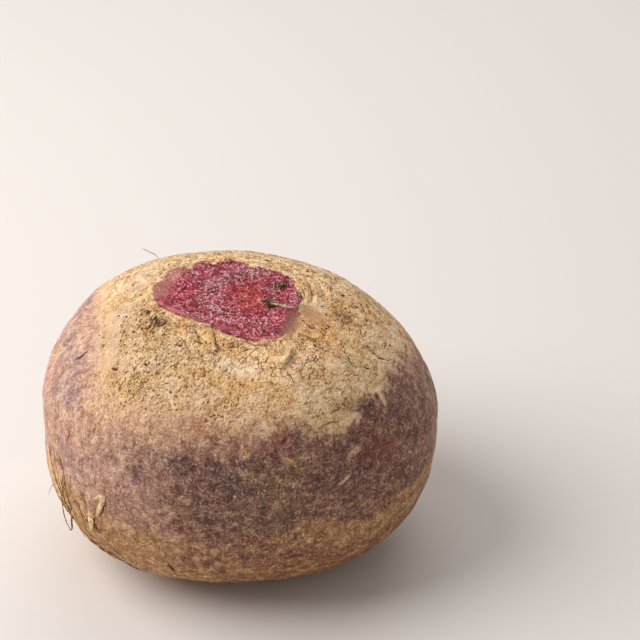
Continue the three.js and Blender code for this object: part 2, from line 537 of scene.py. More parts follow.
# Where the purple fades into the earthy base: azimuth and height.
EARTH_EDGE = [(0, 24), (40, 22), (80, 26), (120, 22), (170, 20), (205, 34), (238, 32), (255, 25)]
EARTH_EDGE += [(290, 27), (315, 29), (335, 30)]
EARTH_FADE = 22  # the height over which it fades

CRUSTY_AZIMUTH = 232  # the middle of the crusty, darker side of the cork
CRUSTY_TURNS = (75, 35)  # how far to either side of it the crust ends, and how far it is full
DASH_TURN = 55  # the way that the crust and its dashes run, in degrees anticlockwise from +X
GRAIN_RADIUS = 45  # streaks are measured around the root at this radius

# Marks painted on the skin and on the cut flesh: for each kind, those on the upper side, in plan,
# and those on the flank, by azimuth and height. Each is its spots, how wide it is, and how strong.
MARKS = {
    "wine": (
        [([(-30.1, -21.7), (-29.5, -22)], 0.5, 1.0), ([(-13.8, -18.6)], 0.5, 0.6)],
        [
            ([(285, 55), (287, 56.5)], 0.7, 1.0), ([(283, 53.6)], 0.7, 0.9),
            ([(246.5, 18), (247.5, 14)], 0.6, 1.0),
            ([(286, 21.2), (288.4, 21.9), (291, 21.7)], 0.6, 1.0),
            ([(283.9, 22.3), (284.8, 22.9)], 0.7, 1.0), ([(252, 36), (254, 33)], 2.0, 0.2),
            ([(252, 28), (255, 25)], 2.4, 0.25), ([(312, 49), (322, 47)], 6.0, 0.6),
            ([(300, 42), (312, 38)], 4.0, 0.45), ([(262, 40)], 5.0, 0.2), ([(197, 48)], 3.0, 0.3),
            ([(219.9, 34), (220.8, 29)], 0.9, 0.7), ([(100, 47), (108, 40)], 4.0, 0.4),
        ],
    ),
    "rust": (
        [([(-9, -38.5)], 2.4, 0.9), ([(-30, -21.6)], 1.5, 0.7), ([(-31, -28), (-27, -31)], 2, 0.35)],
        [
            ([(257, 57.6), (262, 57.4)], 2.0, 0.7), ([(253.4, 35), (253.8, 32)], 2.4, 0.45),
            ([(254.2, 31), (254.6, 28.6)], 1.5, 0.75), ([(251.6, 27), (252.4, 23.4)], 1.3, 0.5),
            ([(303, 20), (310, 17)], 3.0, 0.45), ([(284, 57), (288, 56)], 2.2, 0.6),
            ([(278, 54), (280, 54)], 1.2, 0.6), ([(214, 51), (213.5, 46)], 0.9, 1.0),
            ([(252.5, 47)], 1.6, 0.6), ([(226, 60)], 3, 0.3),
            ([(75, 52), (84, 45), (88, 38)], 2.5, 0.7), ([(55, 30), (64, 26)], 3, 0.5),
            ([(120, 30), (133, 34)], 3, 0.4),
        ],
    ),
    "lilac": (
        [
            ([(-32.4, -8), (-30.8, -15)], 2.2, 0.6), ([(-36.3, -20.5), (-35.6, -24.5)], 1.6, 0.8),
            ([(-20, -28.4), (-17, -28.8)], 1.1, 0.5), ([(-23, -32)], 1.8, 0.45),
            ([(13.6, -24.5), (14, -27), (18, -28.5)], 1.6, 0.6), ([(-37.5, 6), (-34.5, 11)], 3.0, 0.5),
            ([(24.5, -4)], 1.2, 0.3),
        ],
        [([(160, 62), (175, 62)], 5.0, 0.5), ([(338, 60), (352, 57)], 4.0, 0.5)],
    ),
    "mauve": (
        [],
        [
            ([(165, 63), (180, 61), (192, 60)], 4.0, 0.9), ([(196, 62), (203, 60)], 3.0, 0.9),
            ([(200, 55), (210, 57)], 4.0, 0.9), ([(228, 55), (240, 54)], 4.0, 0.8),
            ([(224, 46), (232, 42)], 5.0, 0.4), ([(212, 44), (218, 38)], 4.0, 0.7),
            ([(233, 36), (240, 31)], 4.0, 0.5), ([(246, 24), (258, 16)], 5.0, 0.25),
            ([(268, 27), (272, 20)], 3.0, 0.7), ([(288, 58), (297, 57)], 2.4, 0.9),
            ([(150, 50), (158, 40)], 6.0, 0.8), ([(20, 55), (40, 52)], 6.0, 0.6),
        ],
    ),
    "ochre": (
        [],
        [
            ([(226, 32), (234, 28)], 3.0, 0.9), ([(240, 26), (248, 22)], 4.0, 0.6),
            ([(230, 22), (242, 16), (254, 12)], 6.0, 0.7), ([(228, 38), (238, 34)], 4.0, 0.4),
            ([(205, 26), (213, 30), (222, 17), (230, 10)], 4.0, 0.9),
            ([(262, 22), (275, 16)], 5.0, 0.6),
            ([(292, 30), (305, 26), (318, 25), (330, 24)], 4.0, 1.0),
            ([(280, 25), (290, 26)], 3.0, 0.6), ([(267, 60), (268, 58)], 2.0, 0.8),
            ([(272.5, 54)], 1.6, 0.9), ([(240, 57), (250, 58)], 4.0, 0.5),
            ([(322, 34), (330, 30)], 3.0, 0.5), ([(284, 45), (288, 50)], 3.0, 0.6),
            ([(70, 30), (100, 26)], 5.0, 0.7),
        ],
    ),
    "bark": (
        [],
        [
            ([(200, 34), (206, 26), (211, 19), (216, 13)], 3.0, 1.0), ([(216, 13), (223, 9)], 3.0, 0.7),
            ([(194, 44), (200, 34)], 1.6, 0.7),
        ],
    ),
    "brown": (
        [([(22.5, -1.5), (26, -5), (30, -12)], 3.6, 0.5)],
        [
            ([(276, 48), (284, 43), (290, 49)], 4.5, 0.9),
            ([(272, 36), (284, 32), (292, 38)], 6.0, 0.7), ([(295, 50), (300, 52)], 3.0, 0.6),
            ([(250, 40), (256, 34)], 5.0, 0.6), ([(300, 34), (310, 33)], 4.0, 0.5),
            ([(80, 45), (95, 38)], 7.0, 0.7),
        ],
    ),
    "pale": (
        [
            ([(-16, -28), (-16, -32)], 2.2, 0.7), ([(-13, -23)], 1.6, 0.7),
            ([(-5, -24), (0, -27.5), (5, -28)], 3.2, 0.75), ([(14, -31), (20, -33)], 3.0, 0.6),
            ([(26, -22), (24, -30)], 3.0, 0.5), ([(33, -15.5), (37, -14.5)], 1.6, 0.7),
            ([(-17, -9), (-15.8, -11.2)], 0.9, 1.0), ([(-11.5, -16.3), (-8, -18.5)], 0.9, 0.8),
            # Painted highlights on the lips of the folds under the crown, on this line and the next.
            ([(-9.4, -12.9), (-6.4, -13.6)], 0.7, 0.9),
            ([(-4.2, -16.4), (-3, -18.8), (0, -19)], 0.6, 0.6),
            # A painted highlight on the scarp's bright edge.
            ([(13, -23.6), (12.3, -25), (11.5, -26.8)], 0.5, 1.0),
            # The first mark on the next line is a painted highlight on a fold's lip; the second is cream
            # skin.
            ([(0, -19.9), (4, -19.6), (10, -20.6)], 0.7, 0.5), ([(-25, 6), (-22, 14)], 3.5, 0.35),
            ([(-26, -5), (-24, -14), (-19, -17)], 3.5, 0.35),
            ([(-34.4, 0), (-34.4, -8), (-33.8, -17), (-33, -24)], 0.45, 0.4),
            ([(2, 22), (12, 20)], 3.0, 0.4), ([(20, 10), (24, 8), (30, 2)], 3.5, 0.45),
            ([(20, -3), (20.6, -5.4)], 0.7, 0.9),
            ([(31.4, -8), (34.6, -13), (33, -20), (28, -26), (21, -31)], 3.6, 0.35),
            ([(22.4, 1.4), (20.6, 4.6)], 1.6, 0.6), ([(36, -8), (40, -2)], 3.0, 0.5),
            ([(34.2, -23.2), (35.2, -24.4), (36.2, -25.2)], 0.9, 0.9),
        ],
        [
            ([(307.6, 49.1), (310, 49.9)], 1.0, 1.0), ([(302.8, 42.4), (305.6, 43.8)], 0.7, 0.9),
            ([(310.2, 33.6), (312, 34.4)], 0.7, 0.7), ([(298.6, 34.6), (299, 35.4)], 0.7, 0.8),
            ([(324.8, 30.4), (326.4, 31.2)], 0.6, 0.8), ([(327, 36.6), (328, 37.8)], 0.6, 0.8),
            ([(312.6, 55.8), (314.4, 57)], 0.9, 0.7), ([(310, 57), (313, 57.6)], 0.8, 0.8),
            ([(296, 35.5), (299, 36)], 0.9, 0.6), ([(307, 33.5)], 0.6, 0.8),
            ([(269.5, 42.5)], 0.8, 0.8), ([(325, 57.6), (327, 60)], 0.6, 0.5), ([(322, 60)], 1.2, 0.6),
            ([(262, 47.6), (266, 47.9)], 0.5, 0.5), ([(221, 52)], 1.5, 0.4), ([(216, 40)], 1.6, 0.5),
            ([(293.5, 26)], 0.5, 0.9), ([(214, 18), (224, 11), (238, 8)], 4.0, 0.4),
            ([(243, 31), (244, 30)], 0.8, 0.6), ([(252, 41), (253.5, 42)], 0.9, 0.6),
            ([(258, 30)], 0.7, 0.5), ([(328, 43), (331, 40)], 0.5, 0.5),
            ([(336.9, 52.8), (337.8, 48.8)], 0.45, 0.8),
        ],
    ),
    "dark": (
        [
            ([(-20.6, -9.6), (-18.4, -10.6)], 2.0, 0.95), ([(-24.6, -10.6), (-21.4, -12)], 1.1, 0.6),
            ([(-23, -4.6), (-22.4, -6.4)], 1.3, 0.7), ([(-3.5, -16.6), (-1, -16.9)], 0.8, 0.9),
            # The second mark on the next line is painted shade in a crease of the folds.
            ([(-5, -19.3), (-4, -21)], 1.0, 1.0), ([(-11, -12.6), (-9.4, -16), (-7.4, -19)], 0.5, 0.7),
            ([(15, -16.4), (18, -17.6)], 0.8, 0.8), ([(24.6, -3.6), (26.6, -6.4)], 3.0, 0.75),
            ([(20.6, -10.4), (22.4, -14)], 2.6, 0.45), ([(17.2, -12.6), (18.8, -13)], 0.8, 0.9),
            # The second mark on the next line is painted shade beside the scarp.
            ([(20, -16), (24, -20)], 2.6, 0.45), ([(13.2, -24.5), (14.4, -28)], 1.0, 0.6),
            ([(-21, -22), (-27, -27)], 2.2, 0.25), ([(17.6, 8), (18.6, 2)], 0.6, 0.8),
            ([(5, 19.3), (9, 18.9)], 0.5, 0.9),
        ],
        [
            ([(209, 38), (210, 33), (211, 29), (210.5, 26)], 0.8, 0.9),
            # Painted shadow beside the short strap of peeled skin.
            ([(223.4, 28), (222.6, 25), (221.6, 22.4)], 0.5, 1.0),
            ([(225.8, 23.6), (227.6, 21)], 0.6, 0.9), ([(289.5, 29.5), (287.5, 27)], 0.9, 0.7),
            ([(284, 22.5)], 0.6, 1.0), ([(263, 49), (268, 47), (270, 44)], 3.6, 1.0),
            ([(248, 52), (254, 48)], 3.6, 0.85), ([(256, 44), (262, 38)], 4.0, 0.5),
            ([(290, 57), (292, 55)], 2.0, 0.9), ([(304, 52), (314, 50)], 4.5, 0.45),
            ([(298, 45), (308, 42)], 5.0, 0.6), ([(311, 60), (318, 58)], 2.4, 0.8),
            ([(322, 54), (334, 48)], 6.0, 0.3), ([(232, 47), (239, 45)], 3.0, 0.8),
            ([(236, 52)], 2.0, 0.6), ([(206, 22), (212, 13)], 1.6, 0.4),
            ([(60, 48), (66, 34)], 7.0, 0.7), ([(112, 52), (120, 38)], 7.0, 0.7),
            ([(20, 40)], 6.0, 0.4),
        ],
    ),
    "scuffed": ([], [([(325, 50), (333, 39), (337, 30)], 7, 1.0), ([(308, 46), (318, 36)], 5, 0.7)]),
    "blush": (
        [],
        [
            ([(178, 46), (190, 52)], 7.0, 0.8), ([(196, 40), (200, 30)], 6.0, 0.6),
            ([(155, 46)], 7.0, 0.5), ([(217, 36), (226, 34), (233, 30)], 5.0, 0.55),
            ([(240, 22), (252, 20)], 5.0, 0.25), ([(226, 44), (238, 40)], 5.0, 0.6),
            ([(214, 48), (222, 46)], 4.0, 0.6),
        ],
    ),
    "tanned": (
        [
            ([(-33.4, -19), (-31, -24)], 3.5, 0.7), ([(16, -14), (19, -16)], 4.0, 0.8),
            ([(30, 6), (34, -2)], 5.0, 0.6), ([(21, -8), (21.6, -14)], 3.4, 1.0),
            ([(26, 0), (27.4, -7)], 4.0, 0.9), ([(24, -18), (20, -20)], 3.0, 0.5),
        ],
        [],
    ),
    "smooth": (
        [
            ([(-37, 6), (-36, -6), (-35.4, -18)], 3.5, 1.0),
            ([(-31.6, -4), (-31, -12), (-31.6, -20)], 2.6, 1.0),
            ([(-29, 4), (-26, 12), (-20, 20), (-12, 25)], 4.0, 0.6), ([(19, -3), (21, -8)], 2.4, 0.7),
            ([(26, -24), (31, -18)], 4.0, 0.3), ([(36, -4), (33, 8)], 5.0, 0.35),
            ([(-28, -2), (-27.4, -10), (-27.6, -19)], 4.5, 0.5), ([(-2, 26), (14, 25)], 4.0, 0.5),
        ],
        [],
    ),
    "crackled": (
        [
            ([(3, -26), (12, -29), (19, -25)], 6.0, 1.0),
            ([(-12, -14), (-6, -19), (4, -22), (12, -20)], 2.6, 1.0),
            ([(20, -10), (27, -18)], 5.0, 0.9), ([(16, 8), (20, 2)], 4.0, 0.8),
            ([(-4, 20), (10, 19)], 3.0, 0.7),
        ],
        [],
    ),
    "leather": (
        [
            ([(-20.4, 1), (-20, 4), (-18.4, 8), (-16.4, 12), (-14, 14.4)], 2.8, 1.0),
            ([(-19.8, -3.2), (-17, -5.8), (-13, -8.7), (-10, -10.4)], 0.9, 0.7),
            ([(2, -17.6), (6, -18.8), (10, -18)], 0.8, 0.6), ([(-9, 15.6), (-3, 17.4)], 1.0, 0.6),
        ],
        [],
    ),
    "heart": ([([(1.6, 2), (2.8, -4)], 4.0, 1.0)], []),
    "greyed": (
        [
            ([(-7, 4), (0, 10), (5, 11.5)], 3.4, 0.9), ([(-8.5, -3), (-5.5, -7.5)], 2.2, 0.7),
            ([(0, -9), (5, -13)], 2.4, 0.5), ([(10, 6)], 2.4, 0.5),
        ],
        [],
    ),
    "magenta": (
        [
            ([(-14, 8.5), (-12.5, 4), (-12, 2)], 1.8, 0.9), ([(-16.5, 0), (-14, -2)], 1.8, 0.9),
            ([(-5, -1.5)], 1.0, 0.9), ([(9.5, -8), (10, -13)], 1.5, 1.0),
            ([(11, -1), (13, 3)], 1.6, 0.7), ([(2.5, -10)], 1.2, 0.8),
            ([(-10, 12), (-9, 15)], 1.2, 0.7),
        ],
        [],
    ),
    # Where the pale specks of the flesh crowd: crystal grains and painted glints.
    "crystals_and_glints": (
        [
            ([(-8, 3), (-7, -1), (-6, -6), (-4, -9)], 2.6, 1.0),
            ([(-2, -8), (2, -11), (6, -13), (6, -10)], 2.4, 1.0), ([(9, -8), (10, -11)], 1.5, 0.8),
            ([(9, 2), (13, 0), (12, -4)], 2.0, 0.8), ([(-3, 8), (1, 11), (4, 12)], 2.4, 0.8),
            ([(-10.5, 9)], 1.0, 0.8), ([(-12, -4), (-15, -4)], 1.4, 0.5),
        ],
        [],
    ),
    "smooth_band": ([([(-11, -10.2), (-8, -12), (-4, -14.2), (0, -16)], 1.0, 1.0)], []),
    "film": (
        [
            ([(13.4, -8.6), (13.8, -12), (12.2, -15.6)], 2.5, 1.0),
            ([(17.6, -6.4), (19.4, -9)], 2.8, 0.9),
        ],
        [],
    ),
    "dark_flesh": (
        [
            ([(15, 1), (15.5, -2.6)], 0.8, 1.0), ([(9.4, 4.8), (11.4, 4.6)], 1.0, 0.7),
            ([(7.4, -2.6), (7.8, -5.6)], 0.9, 0.7), ([(-11.6, 12), (-12.4, 14)], 0.8, 0.8),
            ([(-12, 6)], 1.1, 0.6), ([(3.5, 8)], 1.4, 0.6), ([(9.5, -1.5)], 1.2, 0.5),
            ([(-8, 0), (-10, -5)], 1.0, 0.5), ([(-5, -11.8), (-1, -13.4)], 0.8, 0.6),
            ([(3, -7), (1, -8)], 0.9, 0.5),
        ],
        [],
    ),
}


def around(bearing, table, column):
    """A value at each bearing, between the rows of a table that starts each row with an azimuth."""
    rows = np.array(table, dtype=float)
    return np.interp(bearing, rows[:, 0], rows[:, column], period=360)


def inside_edge(body, edge):
    """How far each point lies inside a closed edge given in plan, in softnesses: 0.5 on the edge."""
    loop = body.top(*[(x, y) for x, y, _ in edge])
    away = body.distance(loop + loop[:1])
    x, y, _ = body.places.T
    inside = np.zeros(len(x), dtype=bool)
    for (x1, y1, _), (x2, y2, _) in zip(edge, edge[1:] + edge[:1]):
        crosses = (y1 > y) != (y2 > y)
        inside ^= crosses & (x < (x2 - x1) * (y - y1) / (y2 - y1 + 1e-9) + x1)
    inside &= body.height > BELLY_HEIGHT
    azimuths = [math.degrees(math.atan2(y, x)) % 360 for x, y, _ in edge]
    rows = sorted(zip(azimuths, [softness for _, _, softness in edge]))
    return 0.5 + np.where(inside, away, -away) / (2 * around(body.bearing, rows, 1))


def painted(body, top, side):
    """How strongly marks on the top and on the side cover each point of the mesh."""
    cover = np.zeros(len(body.places))
    paths = [(body.top(*spots), width, share) for spots, width, share in top]
    paths += [(body.side(*spots), width, share) for spots, width, share in side]
    for path, width, share in paths:
        cover = np.maximum(cover, share * body.nearness(path, width))
    return cover


def mark_zones(body):
    """Stores where each kind of skin and flesh lies, for the finish."""
    earth_edge = around(body.bearing, EARTH_EDGE, 1)
    body.keep("from_rim", np.clip(body.from_rim, -9, 9))
    body.keep("cork", np.clip(inside_edge(body, CORK_EDGE), -2, 3))
    body.keep("purple", around(body.bearing, FLANK_TONES, 1))
    body.keep("earth", np.clip(0.5 + (earth_edge - body.height) / EARTH_FADE, 0, 1))
    body.keep("crusty", smoothstep(np.abs(turn_from(CRUSTY_AZIMUTH, body.bearing)), *CRUSTY_TURNS))
    body.keep("warm_edge", around(body.bearing, FLANK_TONES, 2))
    for name, (top, side) in MARKS.items():
        body.keep(name, painted(body, top, side))

    # Streaks follow this: around the root in x and y, and down its profile in z.
    turn = np.radians(body.bearing)
    grain = np.stack([GRAIN_RADIUS * np.cos(turn), GRAIN_RADIUS * np.sin(turn), body.length], axis=-1)
    layer = body.piece.data.attributes.new("grain", "FLOAT_VECTOR", "POINT")
    layer.data.foreach_set("vector", grain.astype(np.float32).ravel())


mark_zones(body)


# ---- Colours, as they look on a screen, from 0 to 255 ----------------------------------------


def paint(red, green, blue):
    """A screen colour as a shader's socket holds it."""
    shares = [level / 255 for level in (red, green, blue)]
    return (*[s / 12.92 if s <= 0.04045 else ((s + 0.055) / 1.055) ** 2.4 for s in shares], 1)


def ramp(*colours):
    """One kind of skin's colours, from its darkest hollows to its palest tips."""
    return [paint(*colour) for colour in colours]


# Each of these runs from the darkest hollows of its kind of skin to the palest tips.
CORK_TAN = ramp((130, 78, 38), (198, 142, 86), (230, 176, 119), (248, 204, 149), (255, 229, 184))
CORK_OCHRE = ramp((122, 72, 30), (192, 131, 70), (224, 161, 94), (243, 189, 122), (253, 218, 161))
CORK_CREAM = ramp((160, 108, 68), (222, 168, 120), (246, 196, 148), (253, 217, 175), (255, 231, 200))
CORK_BROWN = ramp((76, 48, 28), (130, 88, 54), (164, 116, 76), (192, 144, 100), (224, 180, 136))
SMOOTH_TAN = ramp((142, 98, 68), (186, 144, 106), (210, 172, 136), (226, 190, 154), (242, 212, 182))
ROSE = ramp((138, 84, 68), (170, 120, 97), (191, 144, 118), (212, 168, 141), (233, 197, 169))
MAUVE = ramp((118, 78, 74), (144, 104, 98), (165, 127, 118), (187, 150, 139), (210, 177, 160))
PURPLE = ramp((80, 42, 38), (112, 69, 60), (139, 94, 80), (164, 118, 100), (210, 164, 137))
DEEP_PURPLE = ramp((64, 36, 34), (94, 61, 57), (117, 82, 75), (144, 109, 95), (190, 151, 131))
PURPLE_BROWN = ramp((91, 54, 36), (122, 80, 57), (150, 107, 79), (176, 132, 99), (216, 173, 131))
EARTH = ramp((96, 53, 30), (128, 78, 49), (152, 100, 67), (176, 125, 86), (212, 160, 115))
EARTH_OCHRE = ramp((112, 70, 38), (152, 106, 64), (180, 134, 86), (202, 158, 106), (230, 190, 138))
BARK = ramp((116, 68, 38), (184, 128, 82), (216, 158, 106), (238, 186, 134), (250, 214, 168))
BLUSH = ramp((150, 88, 82), (186, 126, 118), (208, 152, 142), (222, 172, 160), (238, 196, 182))
BROWN = ramp((78, 52, 36), (110, 80, 58), (136, 104, 78), (162, 128, 98), (206, 168, 132))
ROSY_TAN = ramp((130, 80, 58), (167, 115, 86), (195, 145, 113), (218, 172, 138), (239, 202, 168))
FLESH = ramp((88, 14, 28), (152, 28, 50), (196, 56, 76), (226, 116, 128), (252, 206, 210))
FLESH_GREY = ramp((90, 28, 38), (146, 62, 70), (186, 98, 102), (210, 144, 144), (244, 212, 212))
FLESH_MAGENTA = ramp((108, 10, 30), (172, 26, 54), (212, 48, 80), (234, 106, 126), (252, 204, 212))
FLESH_HEART = ramp((126, 16, 20), (180, 36, 36), (208, 58, 52), (226, 100, 88), (248, 188, 168))
FLESH_LEATHER = ramp((106, 52, 44), (142, 82, 70), (168, 107, 94), (190, 132, 114), (218, 166, 144))
FLESH_BAND = ramp((84, 26, 34), (118, 44, 50), (142, 62, 66), (164, 86, 86), (200, 134, 128))
FILM = ramp((104, 54, 44), (126, 76, 60), (142, 94, 70), (166, 117, 83), (188, 140, 100))

CRACK_BROWN = paint(78, 48, 28)
WINE = paint(124, 34, 34)
RUST = paint(164, 84, 50)
# The pale pink of the flesh's crystal grains and painted glints.
FLESH_SPECK_AND_GLINT = paint(250, 208, 208)


# ---- Procedural finishes ---------------------------------------------------------------------


class Amount:
    """A number inside a finish, to be added, taken away and multiplied like any other."""

    def __init__(self, finish, socket):
        self.finish = finish
        self.socket = socket

    def __add__(self, other):
        return self.finish.maths("ADD", self, other)

    def __radd__(self, other):
        return self.finish.maths("ADD", other, self)

    def __sub__(self, other):
        return self.finish.maths("SUBTRACT", self, other)

    def __rsub__(self, other):
        return self.finish.maths("SUBTRACT", other, self)

    def __mul__(self, other):
        return self.finish.maths("MULTIPLY", self, other)

    def __rmul__(self, other):
        return self.finish.maths("MULTIPLY", other, self)


class Finish:
    """A procedural material, put together in small steps. Sizes in it are in millimetres."""

    def __init__(self, name):
        self.material = bpy.data.materials.new(name)
        self.material.use_nodes = True
        self.tree = self.material.node_tree
        self.shader = self.tree.nodes["Principled BSDF"]
        place = self.node("ShaderNodeTexCoord").outputs["Object"]
        self.place = self.stretch(place, (1 / MM, 1 / MM, 1 / MM))

    def node(self, kind, inputs=(), **settings):
        """Adds a node. Inputs are pairs of a socket's name or number and its value or source."""
        made = self.tree.nodes.new(kind)
        for name, value in settings.items():
            setattr(made, name, value)
        for socket, value in inputs:
            self.feed(made.inputs[socket], value)
        return made

    def feed(self, socket, value):
        """Links a source to a socket, or sets its plain value."""
        if isinstance(value, Amount):
            value = value.socket
        if isinstance(value, bpy.types.NodeSocket):
            self.tree.links.new(value, socket)
        else:
            socket.default_value = value

    def stretch(self, vector, scale, turn=0):
        """A vector turned about Z and then scaled."""
        turned = self.node("ShaderNodeMapping", [("Vector", vector), ("Rotation", (0, 0, turn))])
        inputs = [(0, turned.outputs[0]), (1, scale)]
        return self.node("ShaderNodeVectorMath", inputs, operation="MULTIPLY").outputs[0]

    def attribute(self, name):
        """A number stored on the mesh."""
        node = self.node("ShaderNodeAttribute", attribute_name=name)
        return Amount(self, node.outputs["Fac"])

    def grain(self):
        """The way that streaks follow: around the root in x and y, and down its profile in z."""
        return self.node("ShaderNodeAttribute", attribute_name="grain").outputs["Vector"]

    def maths(self, operation, first, second=0.0):
        """One step of arithmetic."""
        node = self.node("ShaderNodeMath", [(0, first), (1, second)], operation=operation)
        return Amount(self, node.outputs[0])

    def most(self, first, second):
        """The larger of two numbers."""
        return self.maths("MAXIMUM", first, second)

    def step(self, value, low, high):
        """A soft step from 0 at low to 1 at high, either way round."""
        span = [("Value", value), ("From Min", low), ("From Max", high)]
        node = self.node("ShaderNodeMapRange", span, interpolation_type="SMOOTHSTEP")
        return Amount(self, node.outputs[0])

    def mix(self, share, under, over):
        """Two colours, the second over the first."""
        inputs = [(0, share), (6, under), (7, over)]
        return self.node("ShaderNodeMix", inputs, data_type="RGBA").outputs[2]

    def mix_value(self, share, under, over):
        """Two numbers, the second over the first."""
        node = self.node("ShaderNodeMix", [(0, share), (2, under), (3, over)])
        return Amount(self, node.outputs[0])

    def shades(self, tone, colours):
        """Colours from dark to pale, spread evenly over a tone from 0 to 1."""
        node = self.node("ShaderNodeValToRGB", [("Fac", tone)])
        stops = node.color_ramp.elements
        for _ in range(len(colours) - len(stops)):
            stops.new(0.5)
        for index, colour in enumerate(colours):
            stops[index].position = index / (len(colours) - 1)
            stops[index].color = colour
        return node.outputs["Color"]

    def cover(self, under, share, tone, colours):
        """A colour with a share of another kind of skin over it."""
        return self.mix(share, under, self.shades(tone, colours))

    def noise(self, size, detail=2.0, roughness=0.5, distortion=0.0, at=None):
        """Soft cloudy noise around 0.5, with features of about a size."""
        inputs = [("Vector", at or self.place), ("Scale", 1 / size), ("Detail", detail)]
        inputs += [("Roughness", roughness), ("Distortion", distortion)]
        return Amount(self, self.node("ShaderNodeTexNoise", inputs).outputs["Fac"])

    def stray(self, noise, reach):
        """A noise as a stray around 0, to add to a tone or an edge."""
        return (noise - 0.5) * reach

    def grit(self, size, share, radius):
        """Small spots: a share of the cells of a size has one, as wide as a part of the cell."""
        cells = self.node("ShaderNodeTexVoronoi", [("Vector", self.place), ("Scale", 1 / size)])
        draw = self.node("ShaderNodeSeparateColor", [("Color", cells.outputs["Color"])]).outputs["Red"]
        chosen = self.maths("LESS_THAN", draw, share)
        return chosen * self.step(cells.outputs["Distance"], radius, radius * 0.5)

    def veins(self, size, width, detail=1.0):
        """Thin winding lines, a size apart."""
        away = self.maths("ABSOLUTE", self.noise(size, detail) - 0.5)
        return self.step(away, width, width * 0.3)

    def plates(self, size, width):
        """The cracks between small warped plates of a size, broken off here and there."""
        inputs = [("Vector", self.place), ("Scale", 0.7 / size), ("Detail", 2.0)]
        warp = self.node("ShaderNodeTexNoise", inputs).outputs["Color"]
        shift = self.node("ShaderNodeVectorMath", [(0, warp), (1, (size,) * 3)], operation="MULTIPLY")
        place = self.node("ShaderNodeVectorMath", [(0, self.place), (1, shift.outputs[0])])
        inputs = [("Vector", place.outputs[0]), ("Scale", 1 / size)]
        cells = self.node("ShaderNodeTexVoronoi", inputs, feature="DISTANCE_TO_EDGE")
        broken = self.step(self.noise(1.1 * size, 2), 0.4, 0.54)
        return self.step(cells.outputs["Distance"], width, width * 0.2) * broken

    def patch(self, name, low, high, roughen=0.8, size=1.0):
        """A share painted on the mesh, with its edge broken up by noise."""
        ragged = self.attribute(name) + self.stray(self.noise(size, 3, 0.6), roughen)
        return self.step(ragged, low, high)

    def bump(self, height):
        """Fine relief, from a height in millimetres."""
        inputs = [("Height", height), ("Distance", MM), ("Strength", 1.0)]
        return self.node("ShaderNodeBump", inputs).outputs["Normal"]


def cork_lines(finish, brushed, crusty, calm):
    """Fine winding cracks, the short dashes of the crusty side, and cracks between small plates."""
    cracks = finish.most(finish.veins(1.3, 0.034, 1.5), 0.7 * finish.veins(0.8, 0.05))
    cracks = cracks * finish.step(finish.noise(2.4, 1), 0.38, 0.52)
    dashes = finish.step(finish.noise(0.62, 1, at=brushed), 0.6, 0.65)
    dashes = dashes * (0.8 * crusty + finish.attribute("dark"))
    plates = finish.plates(1.7, 0.085) * finish.attribute("crackled")
    return finish.most(finish.most(0.8 * cracks * calm, dashes), plates)


def crown_creases(finish, plain):
    """Painted light and shade of fine ridges and hollows that run round the crown where the cork is plain,
    and thin creases there, painted darker.
    """
    level = finish.stretch(finish.grain(), (0.22, 0.22, 1.0))
    fold_shading = finish.stray(finish.noise(0.9, 3, 0.65, at=level), 1.8) * plain
    creases = finish.step(finish.noise(1.1, 2, 0.6, at=level), 0.57, 0.63)
    creases = creases * finish.step(finish.noise(5.0, 1), 0.4, 0.56) * plain
    return fold_shading, creases


def cork_colours(finish, tone, mottle, crusty, smooth, tanned):
    """The tan of the cork, with its ochre, creamy, smooth, worn and lilac places, its brown stains, and
    painted highlights and shade on the scarp and the folds under the crown.
    """
    colour = finish.shades(tone, CORK_TAN)
    ochre = finish.stray(mottle, 2.4) + 0.5 * crusty + 0.8 * tanned + 0.06
    colour = finish.cover(colour, finish.step(ochre, 0.1, 0.9), tone, CORK_OCHRE)
    creamy = 0.6 * finish.step(finish.noise(7.0, 2), 0.48, 0.62) * (1 - tanned)
    # The pale marks are mostly creamy patches; those on the scarp's edge and on the lips of the folds
    # under the crown are painted highlights.
    creamy = finish.most(creamy, finish.patch("pale", 0.2, 0.9))
    colour = finish.cover(colour, creamy, tone, CORK_CREAM)
    colour = finish.cover(colour, 0.9 * smooth, tone, SMOOTH_TAN)
    worn = finish.attribute("cork") + finish.stray(finish.noise(2.4, 3, 0.6), 2.2)
    worn = finish.step(worn, 1.7, 0.5) * finish.attribute("warm_edge")
    colour = finish.cover(colour, 0.6 * worn, tone, ROSY_TAN)
    # The dark marks are mostly brown stains; those beside the scarp and in a crease under the crown are
    # painted shade.
    stain_and_shade = finish.patch("dark", 0.25, 0.85, 0.9, 0.8)
    colour = finish.cover(colour, 0.8 * stain_and_shade, tone, CORK_BROWN)
    lilac = finish.patch("lilac", 0.2, 0.9, 0.8, 1.2)
    return finish.cover(colour, 0.6 * lilac, tone, ROSE)


